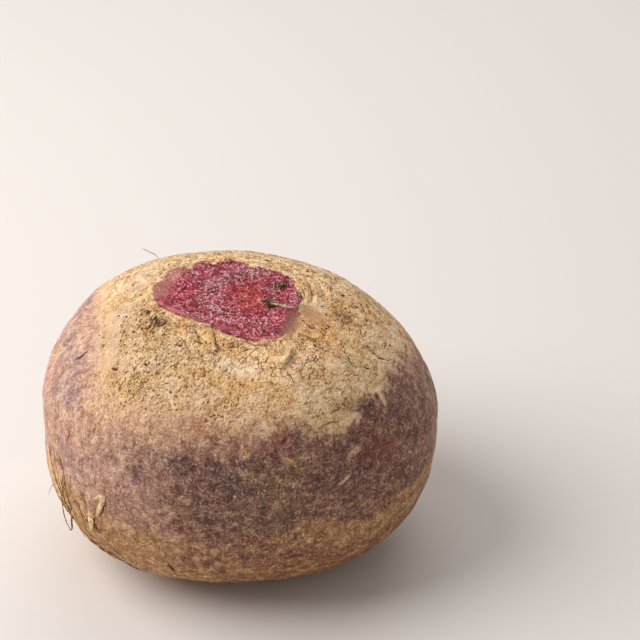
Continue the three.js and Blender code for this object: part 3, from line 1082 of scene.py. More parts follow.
def cork_cap(finish):
    """The dry, tan cork of the shoulders: its colour and its fine height."""
    crusty = finish.attribute("crusty")
    crackled = finish.attribute("crackled")
    brushed = finish.stretch(finish.place, (0.4, 1.0, 1.0), math.radians(-DASH_TURN))
    knobbly = finish.most(finish.most(crusty, finish.attribute("dark")), crackled)
    crust = finish.noise(1.0, 3, 0.7, 0.3, at=brushed)
    crust = finish.mix_value(knobbly, crust, finish.noise(1.2, 4, 0.72, 0.4))
    fine = finish.noise(0.52, 2, 0.6)
    mottle = finish.noise(4.5, 3, 0.55)
    smooth = finish.patch("smooth", 0.1, 0.9, 0.8, 1.6)
    tanned = finish.patch("tanned", 0.1, 0.9, 1.0, 2.6)
    crusty = crusty * (1 - smooth)
    well_in = finish.step(finish.attribute("cork"), 0.2, 2.2)
    calm = (1 - 0.4 * crackled) * (1 - 0.55 * smooth)
    calm = calm * finish.mix_value(well_in, 0.55, 1.0)
    plain = (1 - knobbly) * (1 - 0.6 * smooth)
    lines = cork_lines(finish, brushed, crusty, calm)
    fold_shading, creases = crown_creases(finish, plain)
    dots = 0.9 * finish.grit(1.7, 0.22, 0.18)

    # The tone follows the same crust and fine noise as the height, paler on the tips and darker in the
    # hollows: painted light and shade over the cork's own grain.
    tone = 0.78 + (finish.stray(crust, 2.1) + finish.stray(fine, 1.7)) * calm
    tone = tone + 0.04 * crusty + finish.stray(mottle, 0.5) - 0.08 * smooth - 0.08 * tanned
    # The fold shading and the darker creases are painted light and shade; the lines and dots are the
    # cork's own cracks and specks.
    tone = tone - 0.85 * lines - 0.65 * dots + 0.8 * fold_shading - 0.5 * creases + 0.07 * plain
    # Pale marks lighten the tone: cream patches, and painted highlights on the scarp's edge and the lips
    # of the folds under the crown.
    tone = tone + 0.2 * finish.patch("pale", 0.2, 0.95)
    colour = cork_colours(finish, tone, mottle, crusty, smooth, tanned)

    rough = finish.mix_value(crusty, 0.6, 1.0)
    height = finish.stray(crust, 1.3 * rough) + finish.stray(fine, 0.9)
    height = height * calm - 0.22 * lines - 0.15 * creases
    return colour, height


def flank_marks(finish, down):
    """Pale hair lines, flecks and scuffs, and dark specks and creases, as changes of a tone."""
    hair_lines = finish.veins(0.9, 0.07, 1.0) * finish.step(finish.noise(1.6, 1), 0.36, 0.54)
    creases = finish.veins(1.3, 0.045, 1.5) * finish.step(finish.noise(2.0, 1), 0.44, 0.58)
    flecks = finish.most(finish.grit(0.8, 0.14, 0.32), finish.grit(1.9, 0.1, 0.2))
    scuffed = finish.most(finish.attribute("scuffed"), finish.step(finish.noise(5.0, 1), 0.5, 0.66))
    scuffs = finish.step(finish.noise(0.6, 1, at=down), 0.62, 0.7) * scuffed
    specks = finish.grit(0.95, 0.2, 0.3)
    return 0.4 * hair_lines - 0.3 * creases - 0.34 * specks + 0.46 * finish.most(flecks, scuffs)


def purple_side(finish, tone, patches):
    """Purple skin, browner or deeper in places, with a painted shadow beside the short strap of peeled
    skin.
    """
    mottle = finish.noise(6.0, 4, 0.6)
    colour = finish.shades(tone, PURPLE)
    browner = finish.step(mottle + finish.stray(patches, 0.4), 0.48, 0.68)
    colour = finish.cover(colour, 0.8 * browner, tone, PURPLE_BROWN)
    brown = finish.patch("brown", 0.15, 0.9, 1.0, 3.0)
    colour = finish.cover(colour, 0.85 * brown, tone, BROWN)
    # The dark marks here are deeper purple, and a painted shadow beside the short peeled strap.
    deep_and_shaded = finish.patch("dark", 0.1, 0.8, 0.9, 3.0)
    deep_and_shaded = finish.most(deep_and_shaded, 0.5 * finish.step(finish.noise(7.0, 3), 0.54, 0.7))
    return finish.cover(colour, 0.95 * deep_and_shaded, tone, DEEP_PURPLE)


def rosy_side(finish, tone, patches, down):
    """Rosy skin, with soft mauve and creamy clouds."""
    colour = finish.shades(tone, ROSE)
    mauve = finish.step(finish.noise(7.0, 3, 0.6, at=down) + finish.stray(patches, 0.3), 0.48, 0.66)
    mauve = finish.most(0.6 * mauve, finish.patch("mauve", 0.1, 0.9, 0.8, 2.4))
    colour = finish.cover(colour, mauve, tone, MAUVE)
    creamy = finish.step(finish.noise(8.0, 3, 0.6) + finish.stray(patches, 0.6), 0.5, 0.7)
    return finish.cover(colour, 0.4 * creamy, tone, CORK_CREAM)


def earthy_base(finish, tone, patches, level, rosy):
    """Earthy skin, streaked level around the root, and paler below the rosy side."""
    colour = finish.shades(tone, EARTH)
    ochre = finish.step(finish.noise(5.0, 3, at=level) + finish.stray(patches, 0.5), 0.48, 0.66)
    colour = finish.cover(colour, finish.most(ochre, rosy), tone, EARTH_OCHRE)
    return finish.cover(colour, 0.5 * rosy, tone, BARK)


def flank_skin(finish):
    """The purple to rosy skin of the flanks and the earthy base: its colour and its fine height."""
    down = finish.stretch(finish.grain(), (1.0, 1.0, 0.3))
    level = finish.stretch(finish.grain(), (0.3, 0.3, 1.0))
    fine = finish.noise(0.7, 3, 0.72)
    frost = finish.noise(0.46, 1, 0.5)
    patches = finish.noise(2.6, 3, 0.6, 0.4)
    streaks = finish.noise(1.3, 3, 0.6, at=down)
    bands = finish.noise(1.2, 3, 0.6, at=level)
    stray = finish.stray(fine, 1.8) + finish.stray(patches, 1.4) + finish.stray(streaks, 0.5)
    stray = stray + finish.stray(frost, 0.6) + flank_marks(finish, down)
    tone = 0.44 + stray
    rosy_tone = 0.5 + 0.85 * stray + finish.stray(streaks, 0.5)
    purple = finish.patch("purple", 0.28, 0.72, 0.9, 5.0)
    rosy_colour = rosy_side(finish, rosy_tone, patches, down)
    colour = finish.mix(purple, rosy_colour, purple_side(finish, tone, patches))

    earth = finish.attribute("earth") + finish.stray(finish.noise(5.0, 4, 0.62, at=level), 1.5)
    base_tone = tone + finish.stray(bands, 0.8)
    base_colour = earthy_base(finish, base_tone, patches, level, 1 - purple)
    colour = finish.mix(finish.step(earth, 0.2, 0.9), colour, base_colour)
    ochre = finish.patch("ochre", 0.15, 0.95, 1.2, 2.6)
    colour = finish.cover(colour, 0.8 * ochre, tone, EARTH_OCHRE)
    bark_tone = tone + 0.32 + finish.stray(streaks, 1.4)
    bark = finish.patch("bark", 0.1, 0.8, 0.9, 1.6)
    colour = finish.cover(colour, 0.9 * bark, bark_tone, BARK)

    # Just below the cork the skin is a rosy tan.
    below_cork = finish.attribute("cork") + finish.stray(finish.noise(3.6, 3, 0.6), 1.6)
    below_cork = finish.step(below_cork, -0.7, 0.3) * finish.attribute("warm_edge")
    colour = finish.cover(colour, 0.75 * below_cork, rosy_tone, ROSY_TAN)
    pale = finish.patch("pale", 0.3, 0.8, 0.7, 0.8)
    colour = finish.cover(colour, 0.75 * pale, tone, CORK_CREAM)
    blush = finish.patch("blush", 0.1, 1.0, 0.6, 3.0)
    colour = finish.cover(colour, 0.6 * blush, rosy_tone, BLUSH)

    height = finish.stray(fine, 0.5) + finish.stray(patches, 0.4) + finish.stray(bands, 0.2)
    return colour, height


def cut_flesh(finish):
    """The dried, crystalline flesh of the topped crown: its colour and its fine height."""
    crystal = finish.noise(0.9, 3, 0.75, 0.4)
    fine = finish.noise(0.45, 1, 0.5)
    mottle = finish.noise(3.0, 3, 0.6)
    smooth = finish.most(finish.attribute("leather"), finish.attribute("smooth_band"))
    smooth = finish.step(smooth, 0.2, 0.6)
    rough = 1 - 0.75 * smooth

    # Pale specks in clusters, some of them curled: partly crystal grains, partly painted glints.
    clusters = finish.step(finish.noise(2.6, 2), 0.46, 0.62)
    glint_curls = finish.veins(0.7, 0.06, 1.0) * finish.step(finish.noise(0.9, 1), 0.48, 0.6)
    small = finish.most(finish.grit(0.66, 0.45, 0.46), 0.7 * glint_curls)
    clusters = finish.most(0.7 * clusters, finish.attribute("crystals_and_glints"))
    small = small * clusters
    large = finish.grit(1.4, 0.36, 0.3) * (0.6 + finish.attribute("crystals_and_glints"))
    heart = finish.patch("heart", 0.1, 0.9, 0.5, 1.0)
    specks = finish.most(0.85 * small, large) * rough * (1 - 0.6 * heart)
    # The tone follows the same crystal and fine noise as the height: painted shade in the hollows and
    # painted light on the tips, over the flesh's own mottle.
    tone = finish.stray(crystal, 2.1) + finish.stray(fine, 1.4) - 0.3 * finish.plates(1.0, 0.1)
    tone = 0.47 + tone * rough + finish.stray(mottle, 1.3) + 0.55 * specks
    shadowed = finish.patch("dark_flesh", 0.35, 0.9, 0.6, 0.6)
    tone = tone - 0.45 * shadowed

    colour = finish.shades(tone, FLESH)
    grey = finish.patch("greyed", 0.2, 0.9, 0.8, 1.4)
    grey = finish.most(grey, 0.7 * finish.step(finish.noise(3.4, 3), 0.5, 0.64))
    colour = finish.cover(colour, 0.75 * grey, tone, FLESH_GREY)
    magenta = finish.patch("magenta", 0.15, 0.9, 0.7, 1.0)
    colour = finish.cover(colour, 0.9 * magenta, tone, FLESH_MAGENTA)
    colour = finish.cover(colour, 0.9 * heart, tone, FLESH_HEART)
    leather = finish.patch("leather", 0.1, 0.85, 1.3, 1.6)
    leather_tone = 0.45 + finish.stray(fine, 2.2) + finish.stray(mottle, 1.4)
    colour = finish.cover(colour, 0.9 * leather, leather_tone, FLESH_LEATHER)
    band = finish.patch("smooth_band", 0.2, 0.8, 0.7, 1.0)
    colour = finish.cover(colour, 0.8 * band, leather_tone, FLESH_BAND)
    # The pale specks: crystal grains and painted glints.
    colour = finish.mix(0.9 * specks, colour, FLESH_SPECK_AND_GLINT)

    height = (finish.stray(crystal, 1.6) + finish.stray(fine, 0.6)) * rough
    return colour, height


def skin_and_flesh():
    """The whole root's finish: cork cap, purple flanks, earthy base and the cut flesh."""
    finish = Finish("beetroot_skin_and_flesh")
    cork_colour, cork_height = cork_cap(finish)
    flank_colour, flank_height = flank_skin(finish)
    flesh_colour, flesh_height = cut_flesh(finish)

    cork = finish.attribute("cork") + finish.stray(finish.noise(3.2, 4, 0.65), 2.4)
    cork = finish.step(cork + finish.stray(finish.noise(0.6, 2), 1.2), 0.0, 1.0)
    colour = finish.mix(cork, flank_colour, cork_colour)
    colour = finish.mix(0.55 * finish.patch("rust", 0.2, 1.2, 1.4), colour, RUST)
    colour = finish.mix(0.8 * finish.patch("wine", 0.25, 0.95, 0.8), colour, WINE)

    # The flesh meets the skin in a ragged edge, except under the smooth film that ran over it.
    from_rim = finish.attribute("from_rim")
    edge = from_rim + finish.stray(finish.noise(0.9, 3, 0.65), 2.0)
    flesh = finish.step(edge + finish.stray(finish.noise(0.4, 2), 1.0), 0.35, -0.35)
    film = finish.patch("film", 0.05, 1.0, 0.5, 2.0)
    colour = finish.mix(flesh, colour, flesh_colour)
    # A thin, broken dark line along the cut's edge, except on the leathery side and under the film.
    dark_cut_edge = (1 - finish.attribute("leather")) * finish.step(edge, -0.5, 0.0) * finish.step(edge, 0.3, 0.0)
    dark_cut_edge = dark_cut_edge * (1 - film) * finish.step(finish.noise(2.0, 2), 0.48, 0.62)
    colour = finish.mix(0.24 * dark_cut_edge, colour, CRACK_BROWN)
    film_tone = 0.15 * from_rim + 0.46 + finish.stray(finish.noise(1.4, 3), 0.6)
    film_share = 0.9 * film * finish.step(from_rim, -6.0, -0.5)
    colour = finish.cover(colour, film_share, film_tone, FILM)

    calm = 1 - 0.8 * film
    skin_height = finish.mix_value(cork, flank_height, cork_height)
    height = finish.mix_value(flesh, skin_height, flesh_height) * calm
    roughness = finish.mix_value(flesh, finish.mix_value(cork, 0.6, 0.85), 0.34)
    finish.feed(finish.shader.inputs["Base Color"], colour)
    finish.feed(finish.shader.inputs["Normal"], finish.bump(height))
    finish.feed(finish.shader.inputs["Roughness"], roughness)
    finish.shader.inputs["Specular IOR Level"].default_value = 0.4
    return finish.material


body.piece.data.materials.append(skin_and_flesh())
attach(body.piece, "root")
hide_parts("beetroot")


# ---- Threads, cracks and scraps that lie on the body -----------------------------------------

CRACK_SIDES = 1  # the bevel resolution of a crack: six sides

# Cracks in the cork, in plan: spots and the half width of the crack at its middle.
CRACKS_TOP = [
    ([(-40.5, -13.6), (-39, -13.3), (-37, -12.6)], 0.26),
    ([(31.4, -14), (33.5, -14.1), (35.2, -14.6), (36.6, -14), (37.7, -13.3)], 0.32),
    ([(27.2, -18.8), (27.5, -20.6), (28.8, -21.2), (30.6, -20.7)], 0.2),
    ([(30.9, -20.6), (32.2, -19.9)], 0.2),
    ([(27.1, -23.5), (28.3, -23.7), (29.7, -23.2)], 0.16),
    ([(-5, -23.4), (-5.4, -24.8), (-5.2, -26.2)], 0.12),
    ([(6, -26), (6.1, -27.3), (6.6, -28.6)], 0.12),
    ([(5, -24), (5.1, -25), (5.5, -26)], 0.1),
    ([(15, -19.5), (15.4, -21.2), (14.8, -23)], 0.12),
    ([(17.7, -27.5), (17.6, -28.6), (18.1, -29.8)], 0.14),
    ([(13.6, -23.6), (12.9, -25.2), (12.2, -26.9)], 0.13),
    ([(15.2, 1.4), (15.6, 0), (15.3, -2.2)], 0.32),
    ([(5.2, 19.1), (7, 19.5), (8.8, 19)], 0.3),
    ([(16.5, 10), (17.5, 7), (18, 4), (18.3, 1), (18, -2)], 0.13),
    ([(16.1, 4), (16.4, 1), (16, -2.6)], 0.12),
    ([(19.6, 9), (20.8, 5), (21.1, 1.5)], 0.08),
    ([(-11.2, -12.5), (-10.2, -14.5), (-9.6, -16.2), (-9.2, -17.6), (-7.6, -19)], 0.17),
    ([(-6.2, -14), (-5.6, -16), (-5.2, -18), (-4.8, -19.6)], 0.14),
    ([(-5, -19), (-4.4, -20.6), (-5, -21.6)], 0.25),
    ([(-4, -19.6), (-2.4, -20.8), (0, -20.8), (2, -20.4)], 0.16),
    ([(0.6, -22.3), (1.8, -22.5), (3.2, -22.2)], 0.2),
    ([(0, -23.4), (1.6, -23.6)], 0.14),
    ([(9, -20.8), (9.6, -22), (9, -24)], 0.1),
    ([(12, -28.6), (13.4, -29.8), (14.4, -31.8)], 0.12),
    ([(16, -26.4), (15.4, -28.4), (16.4, -30)], 0.1),
    ([(15.8, -16), (17.5, -16.6), (20.5, -17.5)], 0.15),
    ([(20.8, -18.4), (21, -19.5), (22.5, -20)], 0.16),
    ([(-14.4, -8.4), (-10.4, -11.3), (-6, -13.9), (-2.4, -16.2)], 0.09),
    ([(-20.6, -5.5), (-17.4, -8.6), (-14.4, -12)], 0.1),
    ([(-16, -14.6), (-13.4, -17), (-11.6, -20.4)], 0.1),
    ([(-24, -28.2), (-22.9, -27.8)], 0.16),
    ([(-22.5, -30.9), (-21.4, -30.5)], 0.16),
    ([(17.2, -12.6), (18, -13), (18.9, -13)], 0.22),
    ([(15.9, -10.6), (16.5, -11.4)], 0.24),
    ([(-3.6, -15.6), (-2.6, -16.3), (-1.2, -16.3)], 0.28),
    ([(0, -17.4), (1.6, -18)], 0.2),
    ([(2, 17.2), (5, 16), (8.4, 14.2)], 0.12),
    ([(10, 13.6), (12.6, 12), (14.6, 9.4)], 0.12),
    ([(30, -9), (30.8, -10.6)], 0.1),
    ([(20, -24), (21.4, -25.2), (21, -26.8)], 0.09),
    ([(22.6, -22), (24, -23.2)], 0.09),
    ([(8, -30.4), (9.2, -31.6)], 0.09),
    ([(-30, 26), (-27, 29)], 0.12),
    ([(-8, 27), (-5, 28.2), (-1.5, 28)], 0.13),
    ([(12, 27), (15.5, 25)], 0.1),
    ([(27, 16), (30, 12.4)], 0.12),
]
CRACKS_SIDE = [
    # The first two are dark threads painted as the shadows beside the tall and the short strap of peeled
    # skin.
    ([(225.8, 28.9), (226.4, 30), (227.2, 31.6), (227.9, 33.1), (228.4, 34.9), (228.8, 36.4)], 0.22),
    ([(223.9, 28.8), (223.6, 27.2), (223, 25.6), (222.2, 23.7)], 0.28),
    ([(203.6, 44), (205, 38), (206.4, 33)], 0.16),
    ([(207.6, 34), (208.6, 29), (207.8, 24.4)], 0.2),
    ([(213.6, 26), (215, 22.4), (217.4, 19.6)], 0.16),
    ([(216.6, 24), (218.6, 20.6), (221, 17.6)], 0.2),
    ([(220.4, 18.4), (221.6, 17), (222.4, 15)], 0.26),
    ([(223, 16), (225, 14.2), (227, 13.2)], 0.2),
    ([(226.6, 12.6), (228.6, 11.2), (231, 10)], 0.24),
    ([(224.6, 20), (227, 17.4), (228.6, 16.2)], 0.14),
    ([(229, 19.6), (230.4, 17.6)], 0.12),
    ([(213, 34.6), (214.4, 31), (216.6, 28)], 0.12),
    ([(201, 40), (202, 34), (203, 30)], 0.12),
    ([(209, 38), (210, 33), (211, 29), (210.5, 26)], 0.26),
    ([(210.6, 27), (209.4, 23), (211, 19)], 0.18),
    ([(225.9, 23.4), (226.7, 22.2), (227.6, 21)], 0.26),
    ([(223.4, 28), (222.9, 25.6), (223.6, 22.8), (225.2, 22.9)], 0.22),
    ([(219.9, 33.8), (220.6, 32.1), (220.8, 29.1)], 0.14),
    ([(289.6, 29.7), (288.6, 28.3), (287.4, 26.9)], 0.24),
    ([(200, 27), (201.6, 23), (204, 18.6)], 0.2),
    ([(203, 25.5), (205, 21), (208, 16.5)], 0.16),
    ([(207, 22), (209, 18.6), (212, 14.6)], 0.2),
    ([(211, 18), (213.4, 15), (216.4, 12.6)], 0.16),
    ([(215, 15.4), (218, 12.6), (221.6, 10.6)], 0.2),
    ([(219.6, 12.6), (222.4, 10.6), (226, 9.2)], 0.14),
    ([(229, 9.2), (232, 7.6)], 0.12),
    ([(214, 51.4), (214.3, 48.6), (213, 46)], 0.14),
    ([(208.6, 47), (209.2, 44)], 0.1),
    ([(233, 39), (231.6, 36.6)], 0.1),
    ([(38, 42), (39.2, 35), (40, 26), (41, 19)], 0.2),
    ([(43, 30), (44, 22), (46, 15)], 0.16),
    ([(34, 26), (35, 18), (37.6, 11)], 0.15),
    ([(86, 55), (90, 53.6)], 0.14),
    ([(139, 44), (144, 45.4), (147, 44.8)], 0.14),
    ([(104, 24), (112, 23.2)], 0.12),
]
WINE_CRACKS_SIDE = [
    ([(286, 21.4), (288, 22.1), (291.4, 21.8)], 0.13),
    ([(246.4, 18.2), (247, 16), (247.8, 13.8)], 0.24),
    ([(285, 54.6), (286, 55.6), (287, 56.6)], 0.26),
    ([(282.8, 53.2), (283.4, 54)], 0.24),
    ([(70, 33), (73, 31.4)], 0.2),
]
WINE_CRACKS_TOP = [
    ([(-30.6, -21.2), (-29.8, -21.7), (-29, -22.2)], 0.36),
    ([(-14.4, -18.5), (-13.6, -18.2)], 0.4),
]

# Single dark spots in the cork, in plan: place and half width.
SPOTS_TOP = [
    (26, 5, 0.5), (23, 5.5, 0.3), (21.2, 3, 0.3), (16.2, 6.3, 0.3), (32, 5, 0.3), (20.9, -3, 0.38),
    (21.7, -6.5, 0.3), (37.7, -8.5, 0.28), (21.7, -12.2, 0.3), (19, -19.5, 0.36), (19.3, -20.8, 0.28),
    (13, 17, 0.3), (17, 14.3, 0.3), (-6, 22, 0.3), (-26.5, 19, 0.32), (-31.5, 17, 0.3), (-13, 16.6, 0.25),
    (-18.5, 15, 0.25), (-18.4, -14.5, 0.3), (-22.2, -22.4, 0.36), (-23, -17.5, 0.28), (-27.7, -12.2, 0.3),
    (-28.8, -14, 0.24), (-28.8, -15.4, 0.24), (-26, -10, 0.3), (-26, -11.5, 0.24), (-24.3, -8.5, 0.3),
    (-28, -6, 0.4), (-30, -5, 0.28), (-11.5, -22.7, 0.28), (-27, -23.5, 0.28), (-17, -28.8, 0.36),
    (-15.8, -31, 0.28), (-26.8, -30.8, 0.28), (-9, -28.5, 0.28), (-34.5, -10, 0.24), (-33.5, -10.8, 0.22),
    (-33.2, -13.2, 0.22), (-33, -16, 0.24), (28, -4, 0.24), (24, -8, 0.2),
]

# Patches sprinkled with short dark dashes, in plan: middle, spread, count, longest, half width.
DASHED_PATCHES = [
    ((-20.6, -10.2), (2.2, 2.4), 34, 1.5, 0.17),
    ((-23.6, -5.6), (2.0, 2.4), 16, 1.1, 0.15),
    ((-27, -13), (4.0, 6.0), 40, 0.9, 0.12),
    ((-17, -22), (7.0, 5.0), 60, 0.9, 0.11),
    ((-24, -28), (6.0, 4.0), 40, 0.9, 0.11),
    ((-3, -26), (8.0, 4.0), 36, 0.9, 0.09),
    ((25, -5), (4.5, 6.0), 44, 0.6, 0.11),
    ((18, -22), (5.0, 5.0), 34, 0.9, 0.09),
    ((13, 18), (5.0, 3.0), 22, 0.9, 0.12),
    ((22, 8), (4.0, 6.0), 26, 0.8, 0.11),
    ((-12, 22), (12.0, 4.0), 36, 0.8, 0.1),
    ((10, 27), (14.0, 4.0), 36, 0.8, 0.1),
]
DASH_STRAY = 16  # how far the dashes stray from the way of the crust, in degrees


def flow(spots, steps=5):
    """A smooth path through spots, with a number of steps from each to the next."""
    spots = [Vector(spot) for spot in spots]
    ends = [spots[0] * 2 - spots[1], *spots, spots[-1] * 2 - spots[-2]]
    path = []
    for before, start, end, after in zip(ends, ends[1:], ends[2:], ends[3:]):
        for step in range(steps):
            t = step / steps
            bend = (end - before) * (t - 2 * t * t + t**3) + (after - start) * (t**3 - t * t)
            path.append(start + (end - start) * t * t * (3 - 2 * t) + bend / 2)
    return [*path, spots[-1]]


def settled(place, lift):
    """A place moved to the skin and then lifted off it, or sunk into it."""
    found, spot, normal, _ = body.piece.closest_point_on_mesh(Vector(place) * MM)
    if not found:
        raise ValueError(f"no skin near {place}")
    return spot / MM + normal * lift


class Threads:
    """Fine round threads that together make one piece."""

    def __init__(self, name, resolution=CRACK_SIDES):
        self.curve = bpy.data.curves.new(name, "CURVE")
        self.curve.dimensions = "3D"
        self.curve.bevel_depth = MM
        self.curve.bevel_resolution = resolution
        self.curve.use_fill_caps = True
        self.dice = random.Random(name)

    def add(self, path, half_width, tip=0.3):
        """A thread along a path, at its widest in the middle and narrower at both tips."""
        spline = self.curve.splines.new("POLY")
        spline.points.add(len(path) - 1)
        for index, (point, place) in enumerate(zip(spline.points, path)):
            share = math.sin(math.pi * (index + 0.5) / len(path))
            width = half_width * (tip + (1 - tip) * share) * self.dice.uniform(0.8, 1.2)
            point.co = (*(Vector(place) * MM), 1)
            point.radius = width

    def crack(self, spots, half_width):
        """A ragged crack through places on the skin, sunk so that only its top shows."""
        path = flow(spots) if len(spots) > 1 else spots
        ragged = []
        for place in path:
            stray = Vector([self.dice.uniform(-1, 1) for _ in range(3)]) * half_width * 0.8
            ragged.append(settled(place + stray, -0.45 * half_width))
        self.add(ragged, half_width)

    def cracks(self, top, side):
        """Cracks given in plan, and others given by azimuth and height."""
        for spots, half_width in top:
            self.crack(on_skin(body.top(*spots)), half_width)
        for spots, half_width in side:
            self.crack(on_skin(body.side(*spots)), half_width)

    def made(self, finish):
        """Turns the threads into a mesh piece that rides on the root."""
        name = self.curve.name
        piece = bpy.data.objects.new(name, self.curve)
        bpy.context.collection.objects.link(piece)
        select_only(piece)
        bpy.ops.object.convert(target="MESH")
        bpy.ops.object.shade_smooth()
        piece = bpy.context.active_object
        piece.name = piece.data.name = name
        piece.data.materials.append(finish)
        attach(piece, "root")


def on_skin(pairs):
    """The places alone, from pairs of a place and a normal."""
    return [place for place, _ in pairs]


def cork_cracks():
    """Every dark crack, dash and spot of the cork and the furrows, and the painted shadows beside the
    peeled straps.
    """
    threads = Threads("cork_cracks")
    threads.cracks(CRACKS_TOP, CRACKS_SIDE)
    dice = random.Random(11)
    for x, y, half_width in SPOTS_TOP:
        turn = math.radians(dice.uniform(0, 180))
        reach = half_width * dice.uniform(0.7, 1.2)
        ends = [(x - reach * math.cos(turn), y - reach * math.sin(turn)), (x, y)]
        ends.append((x + reach * math.cos(turn), y + reach * math.sin(turn)))
        threads.crack(on_skin(body.top(*ends)), half_width * 0.9)
    for (x, y), (across, along), count, longest, half_width in DASHED_PATCHES:
        for _ in range(count):
            middle = (x + dice.gauss(0, 0.5) * across, y + dice.gauss(0, 0.5) * along)
            turn = math.radians(DASH_TURN + dice.gauss(0, DASH_STRAY))
            reach = longest * dice.uniform(0.25, 0.5)
            step_x, step_y = reach * math.cos(turn), reach * math.sin(turn)
            start = (middle[0] - step_x, middle[1] - step_y)
            end = (middle[0] + step_x, middle[1] + step_y)
            dash = on_skin(body.top(start, middle, end))
            dash = [settled(spot, -0.3 * half_width) for spot in dash]
            threads.add(dash, half_width * dice.uniform(0.6, 1.2))
    threads.made(plain_finish("crack_and_shadow_brown", paint(74, 46, 30), 0.9))


def wine_cracks():
    """The few cracks that show the dark red beneath the skin."""
    threads = Threads("wine_cracks")
    threads.cracks(WINE_CRACKS_TOP, WINE_CRACKS_SIDE)
    threads.made(plain_finish("crack_wine", paint(84, 20, 22), 0.7))


def plain_finish(name, colour, roughness):
    """A thread's finish: one colour, mottled a little along its length."""
    finish = Finish(name)
    darker = (*[level * 0.55 for level in colour[:3]], 1)
    tone = finish.step(finish.noise(0.8, 3), 0.35, 0.65)
    finish.feed(finish.shader.inputs["Base Color"], finish.mix(tone, darker, colour))
    finish.feed(finish.shader.inputs["Normal"], finish.bump(0.08 * finish.noise(0.25, 2)))
    finish.shader.inputs["Roughness"].default_value = roughness
    return finish.material


def straw_finish(name, pale, dark):
    """Dry skin and root threads: straw coloured, streaked and darker in places."""
    finish = Finish(name)
    tone = finish.step(finish.noise(1.3, 4, 0.6), 0.36, 0.64)
    colour = finish.mix(tone, dark, pale)
    colour = finish.mix(0.5 * finish.grit(0.5, 0.3, 0.4), colour, dark)
    finish.feed(finish.shader.inputs["Base Color"], colour)
    finish.feed(finish.shader.inputs["Normal"], finish.bump(0.12 * finish.noise(0.3, 3)))
    finish.shader.inputs["Roughness"].default_value = 0.75
    return finish.material


# Loose root hairs: spots in space and half width.
LOOSE_HAIRS = [
    ([(-21.4, 23.4, 67.2), (-22.6, 24.4, 68.1), (-24.2, 25, 68.6), (-25.8, 25.4, 69.3)], 0.085),
    (
        [(-43.6, -24.9, 32.6), (-44.6, -25.6, 29), (-44.7, -25.8, 24.6), (-44.2, -26, 20.6),
         (-43.2, -26.4, 18)],
        0.13,
    ),
    ([(-43.2, -26.4, 17.6), (-42.6, -26.8, 18.4), (-42.5, -27, 21.6), (-41.7, -27.5, 25.6)], 0.22),
    ([(-47.5, -15.6, 24.4), (-48.6, -16, 23.2), (-49.4, -16.6, 21.4)], 0.07),
    ([(-44.2, -24.4, 34), (-44.6, -25, 30.4), (-43.8, -26.6, 27)], 0.09),
]

# Root hairs that lie along the furrows and the underside: azimuths and heights, half width.
LYING_HAIRS = [
    ([(209.4, 40), (210.4, 35), (211.6, 30), (211, 25.6)], 0.16),
    ([(212, 31), (213, 27), (212, 22)], 0.13),
    ([(205, 24), (208, 19), (210, 15), (214, 12)], 0.14),
    ([(201, 22), (205, 17), (209, 13)], 0.12),
    ([(213, 20), (216, 15), (220, 12)], 0.14),
    ([(216, 17), (220, 13), (225, 10.6)], 0.12),
    ([(222, 14), (227, 10), (233, 8)], 0.13),
    ([(39, 38), (40, 30), (42, 22), (41, 14)], 0.16),
    ([(36, 30), (38, 22), (41, 16)], 0.13),
    ([(44, 26), (46, 18), (45, 10)], 0.14),
    ([(48, 20), (47, 13), (51, 8)], 0.1),
    ([(246, 17), (247.4, 14)], 0.1),
]
UNDERSIDE_HAIRS = 26  # short hairs strewn below the furrows


def root_hairs():
    """The loose hairs and those that cling to the two furrows and the underside."""
    threads = Threads("root_hairs")
    for spots, half_width in LOOSE_HAIRS:
        threads.add(flow(spots, 6), half_width, tip=0.7)
    for spots, half_width in LYING_HAIRS:
        path = [settled(place, 0.12) for place in flow(on_skin(body.side(*spots)), 5)]
        threads.add(path, half_width, tip=0.5)
    dice = random.Random(5)
    furrows = [azimuth for azimuth, _, _ in FURROWS]
    for _ in range(UNDERSIDE_HAIRS):
        azimuth = dice.choice(furrows) + dice.gauss(0, 26)
        height = dice.uniform(2.5, 9)
        fall = dice.uniform(1.5, 2.4)
        spots = [(azimuth, height), (azimuth + dice.gauss(2, 3), max(height - fall, 1.2))]
        path = [settled(place, 0.1) for place in flow(on_skin(body.side(*spots)), 5)]
        threads.add(path, dice.uniform(0.06, 0.12), tip=0.4)
    threads.made(straw_finish("root_hair", paint(176, 124, 72), paint(84, 52, 30)))


STRAP_STEPS_ACROSS = 4
STRIP_THICKNESS = 0.12


def strap(name, stations, thickness, finish, stray=0.12):
    """A thin, ragged strap of dry skin. Each station is a place, a way across and a half width."""
    steps = len(stations) - 1
    bpy.ops.object.select_all(action="DESELECT")
    bpy.ops.mesh.primitive_grid_add(x_subdivisions=steps, y_subdivisions=STRAP_STEPS_ACROSS, size=2)
    piece = bpy.context.active_object
    piece.name = piece.data.name = name
    dice = random.Random(name)
    for vertex in piece.data.vertices:
        index = round((vertex.co.x + 1) / 2 * steps)
        place, across, half_width = stations[index]
        edge = vertex.co.y * half_width * (1 + dice.uniform(-stray, stray))
        cup = 0.25 * half_width * (1 - vertex.co.y**2)
        out = Vector((place[0], place[1], 0)).normalized()
        vertex.co = (Vector(place) + Vector(across).normalized() * edge + out * cup) * MM
    apply_modifier(piece, "SOLIDIFY", thickness=thickness * MM, offset=0)
    apply_modifier(piece, "SUBSURF", levels=1, render_levels=1)
    select_only(piece)
    bpy.ops.object.shade_smooth()
    piece.data.materials.append(finish)
    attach(piece, "root")


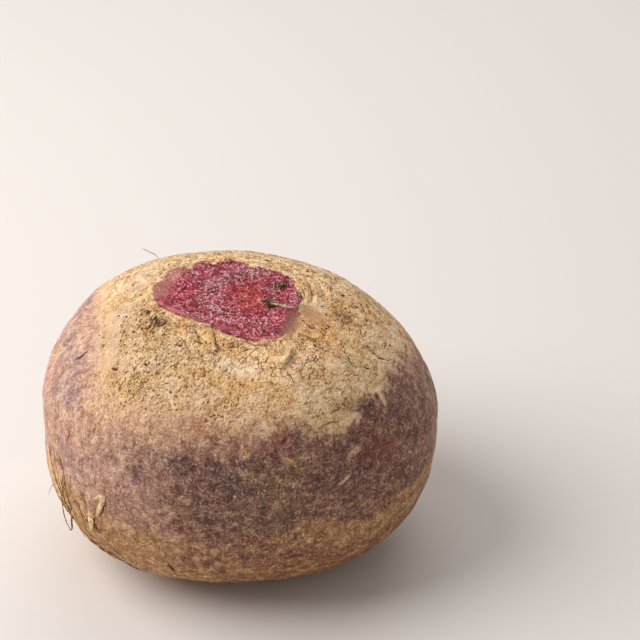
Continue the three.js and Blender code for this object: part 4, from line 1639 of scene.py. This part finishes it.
# Straps of peeled skin: name, course, the way across and thickness. Each stop of a course has an
# azimuth, a height, a lift off the skin and a half width.
TALL_COURSE = [
    (224.7, 28.2, -0.2, 0.2), (225.5, 30, 0.5, 0.42), (226.5, 31.8, 0.9, 0.56), (227.5, 33.6, 1.1, 0.66),
    (228.3, 35.4, 1.2, 0.72), (228.9, 37.2, 1.4, 0.78), (229.1, 38.4, 1.9, 0.78), (228.7, 38.4, 2.5, 0.74),
    (228, 37.6, 2.7, 0.66), (227.5, 36.8, 2.3, 0.56),
]
SHORT_COURSE = [
    (221.3, 21.6, -0.1, 0.2), (222, 23.6, 0.7, 0.5), (222.8, 25.4, 1.1, 0.72), (223.5, 27.2, 1.4, 0.86),
    (224.2, 29.2, 1.6, 0.94),
]
PEELED_STRAPS = [
    ("peeled_strap_tall", TALL_COURSE, (1, -0.55, 0.15), 0.2),
    ("peeled_strap_short", SHORT_COURSE, (1, -0.8, -0.3), 0.22),
]


def raised(azimuth, height, lift):
    """A place off the flank, a lift in millimetres out from the skin."""
    place, normal = body.side((azimuth, height))[0]
    return place + normal * lift


def peeled_skin():
    """The two straps of skin that peel from the left furrow."""
    finish = straw_finish("peeled_skin", paint(255, 232, 188), paint(206, 160, 108))
    for name, course, across, thickness in PEELED_STRAPS:
        stations = [(raised(*spot), across, half_width) for *spot, half_width in course]
        strap(name, stations, thickness, finish)


# Flakes of dry cork: place in plan, the way each runs in degrees, length, half width and lift.
FLAKES = [
    ((-16.3, -10.4), -52, 2.6, 0.55, 0.35),
    ((-10, -17.4), -30, 3.6, 0.6, 0.3),
    ((-1, -18.4), -14, 3.0, 0.5, 0.3),
    ((6, -20.9), 4, 3.4, 0.5, 0.25),
    ((-6, 16.6), 100, 2.0, 0.4, 0.4),
    ((-4.4, 16.9), 70, 2.2, 0.35, 0.5),
    ((16.9, 2), 88, 3.0, 0.45, 0.3),
    ((12.4, -24.8), 62, 2.8, 0.4, 0.3),
    ((-33.8, -14), 88, 2.4, 0.4, 0.2),
    ((11, 14.6), 152, 2.6, 0.4, 0.35),
    ((-21.6, -1), -70, 2.0, 0.35, 0.25),
]


def lying_strip(name, path, half_width, lift, finish):
    """A strip of dry skin that lies along a path of places and normals, lifted towards its end."""
    stations = []
    for index, (place, normal) in enumerate(path):
        share = index / (len(path) - 1)
        along = path[min(index + 1, len(path) - 1)][0] - path[max(index - 1, 0)][0]
        across = normal.cross(along)
        width = half_width * (0.35 + 0.65 * math.sin(math.pi * (0.15 + 0.7 * share)))
        stations.append((place + normal * (lift * share**2 + 0.04), across, width))
    strap(name, stations, STRIP_THICKNESS, finish, stray=0.3)


def flakes():
    """Small flakes of dry cork, lifted a little at one end."""
    finish = straw_finish("dry_flake", paint(230, 192, 138), paint(178, 132, 80))
    for number, ((x, y), heading, length, half_width, lift) in enumerate(FLAKES, start=1):
        turn = math.radians(heading)
        along = Vector((math.cos(turn), math.sin(turn)))
        spots = [tuple(Vector((x, y)) + along * (step / 5 - 0.5) * length) for step in range(6)]
        lying_strip(f"flake_{number}", body.top(*spots), half_width, lift, finish)


# Strips of dry bark along the left furrow, by azimuth and height: spots, half width, lift.
BARK_STRIPS = [
    ([(201.5, 38), (203, 33), (205, 28), (207.4, 23)], 0.4, 0.45),
    ([(206, 31), (207.4, 26), (209.6, 21.5)], 0.36, 0.3),
    ([(210.6, 24.6), (212.4, 20.4), (215.4, 16.8)], 0.5, 0.5),
    ([(213.6, 21.6), (216.4, 17.6), (219.4, 14.6)], 0.36, 0.3),
    ([(218, 17.4), (221, 14.2), (224.4, 12)], 0.44, 0.5),
    ([(223, 13), (226.6, 10.4), (230.4, 8.8)], 0.4, 0.4),
    ([(225.6, 21), (227.4, 18.4), (229.8, 16.2)], 0.36, 0.4),
    ([(217, 30.6), (218.4, 27), (219.4, 24)], 0.3, 0.25),
]


def bark_strips():
    """The loose strips of bark along the left furrow."""
    finish = straw_finish("bark_strip", paint(226, 178, 112), paint(140, 92, 46))
    for number, (spots, half_width, lift) in enumerate(BARK_STRIPS, start=1):
        path = []
        for place in flow(on_skin(body.side(*spots)), 4):
            spot = settled(place, 0)
            path.append((spot, settled(place, 1) - spot))
        lying_strip(f"bark_strip_{number}", path, half_width, lift, finish)


# Tufts in the cut: place in plan, spread and number of threads.
TUFTS = [((10.4, 4.6), 1.5, 34), ((7.6, -3.6), 0.9, 22), ((7.9, -5.2), 0.7, 12)]

# The long straw thread on the cut: place in plan, lift and half width at each stop.
STRAW_COURSE = [
    ((7.2, -4.2), 0.2, 0.2), ((8.6, -4.7), 0.5, 0.26), ((10, -5.2), 0.7, 0.24), ((11.4, -5.9), 0.7, 0.28),
    ((12.8, -6.3), 0.6, 0.3), ((14, -6.1), 0.6, 0.26), ((15, -5.2), 0.6, 0.2), ((15.8, -4.4), 0.3, 0.1),
]


def crown_tufts():
    """Dry leaf threads left in the cut: three tufts of dark and straw threads."""
    dark = Threads("crown_tufts")
    pale = Threads("crown_tuft_straw")
    dice = random.Random(3)
    for (x, y), spread, count in TUFTS:
        for index in range(count):
            spot = (x + dice.gauss(0, 0.5) * spread, y + dice.gauss(0, 0.4) * spread)
            place, _ = body.top(spot)[0]
            turn = dice.uniform(0, 2 * math.pi)
            reach = dice.uniform(0.6, 1.5)
            rise = dice.uniform(0.3, 1.1)
            side = Vector((math.cos(turn), math.sin(turn), 0)) * reach
            path = [place, place + side * 0.5 + Vector((0, 0, rise)), place + side]
            bundle = pale if index % 4 == 0 else dark
            bundle.add(flow(path, 4), dice.uniform(0.08, 0.15), tip=0.5)
    dark.made(straw_finish("tuft_olive", paint(104, 84, 50), paint(44, 32, 22)))
    pale.made(straw_finish("tuft_straw", paint(214, 190, 140), paint(150, 118, 70)))


def straw_thread():
    """The one long straw thread that lies across the cut."""
    places = [body.top(spot)[0][0] + Vector((0, 0, lift)) for spot, lift, _ in STRAW_COURSE]
    stations = []
    for index, (place, (_, _, half_width)) in enumerate(zip(places, STRAW_COURSE)):
        ahead = places[min(index + 1, len(places) - 1)] - places[max(index - 1, 0)]
        stations.append((place, ahead.cross(Vector((0, -0.5, 1))), half_width))
    strap("straw_thread", stations, 0.3, straw_finish("straw", paint(222, 190, 146), paint(120, 88, 52)))


cork_cracks()
wine_cracks()
root_hairs()
peeled_skin()
flakes()
bark_strips()
crown_tufts()
straw_thread()


# ---- The studio ------------------------------------------------------------------------------

FLOOR_SIZE = 4  # metres
FLOOR_COLOUR = (0.76, 0.704, 0.66, 1)

# Soft round lamps, in metres and watts: name, place, width and power.
LAMPS = [("key", (-0.49, -0.03, 0.57), 0.65, 5.5), ("back", (0.12, 0.48, 0.69), 0.8, 1.95)]
LAMP_AIM = (0, 0, 0.03)
SKY_STRENGTH = 0.35

LOOK_AT = (20.26, 0, 64.06)  # what the camera is aimed at
CAMERA_TILT = 34  # degrees down from level
CAMERA_DISTANCE = 596.65
SENSOR_WIDTH = 36
LENS = 133.1


def face(thing, place, aim):
    """Turns a lamp or a camera at a place so that it faces an aim."""
    thing.rotation_euler = (Vector(aim) - Vector(place)).to_track_quat("-Z", "Y").to_euler()


def stone_floor():
    """A plain pale floor, wider than what the camera sees."""
    bpy.ops.mesh.primitive_plane_add(size=FLOOR_SIZE)
    floor = bpy.context.active_object
    floor.name = "floor"
    finish = bpy.data.materials.new("pale_stone")
    finish.use_nodes = True
    shader = finish.node_tree.nodes["Principled BSDF"]
    shader.inputs["Base Color"].default_value = FLOOR_COLOUR
    shader.inputs["Roughness"].default_value = 0.9
    floor.data.materials.append(finish)


def soft_lamp(name, place, size, power):
    """A round lamp aimed at the root."""
    bpy.ops.object.light_add(type="AREA", location=place)
    lamp = bpy.context.active_object
    lamp.name = name
    lamp.data.shape = "DISK"
    lamp.data.size = size
    lamp.data.energy = power
    face(lamp, place, LAMP_AIM)


def sky():
    """Even white light from all round."""
    world = bpy.data.worlds.new("soft_sky")
    world.use_nodes = True
    background = world.node_tree.nodes["Background"]
    background.inputs["Color"].default_value = (1, 1, 1, 1)
    background.inputs["Strength"].default_value = SKY_STRENGTH
    bpy.context.scene.world = world


def camera():
    """A long lens that looks down at the front of the root."""
    look = Vector(LOOK_AT) * MM
    tilt = math.radians(CAMERA_TILT)
    back = Vector((0, -math.cos(tilt), math.sin(tilt)))
    place = look + back * CAMERA_DISTANCE * MM
    bpy.ops.object.camera_add(location=place)
    made = bpy.context.active_object
    face(made, place, look)
    made.data.sensor_width = SENSOR_WIDTH
    made.data.lens = LENS
    bpy.context.scene.camera = made


stone_floor()
for lamp in LAMPS:
    soft_lamp(*lamp)
sky()
camera()

bpy.context.scene.view_settings.view_transform = "Standard"
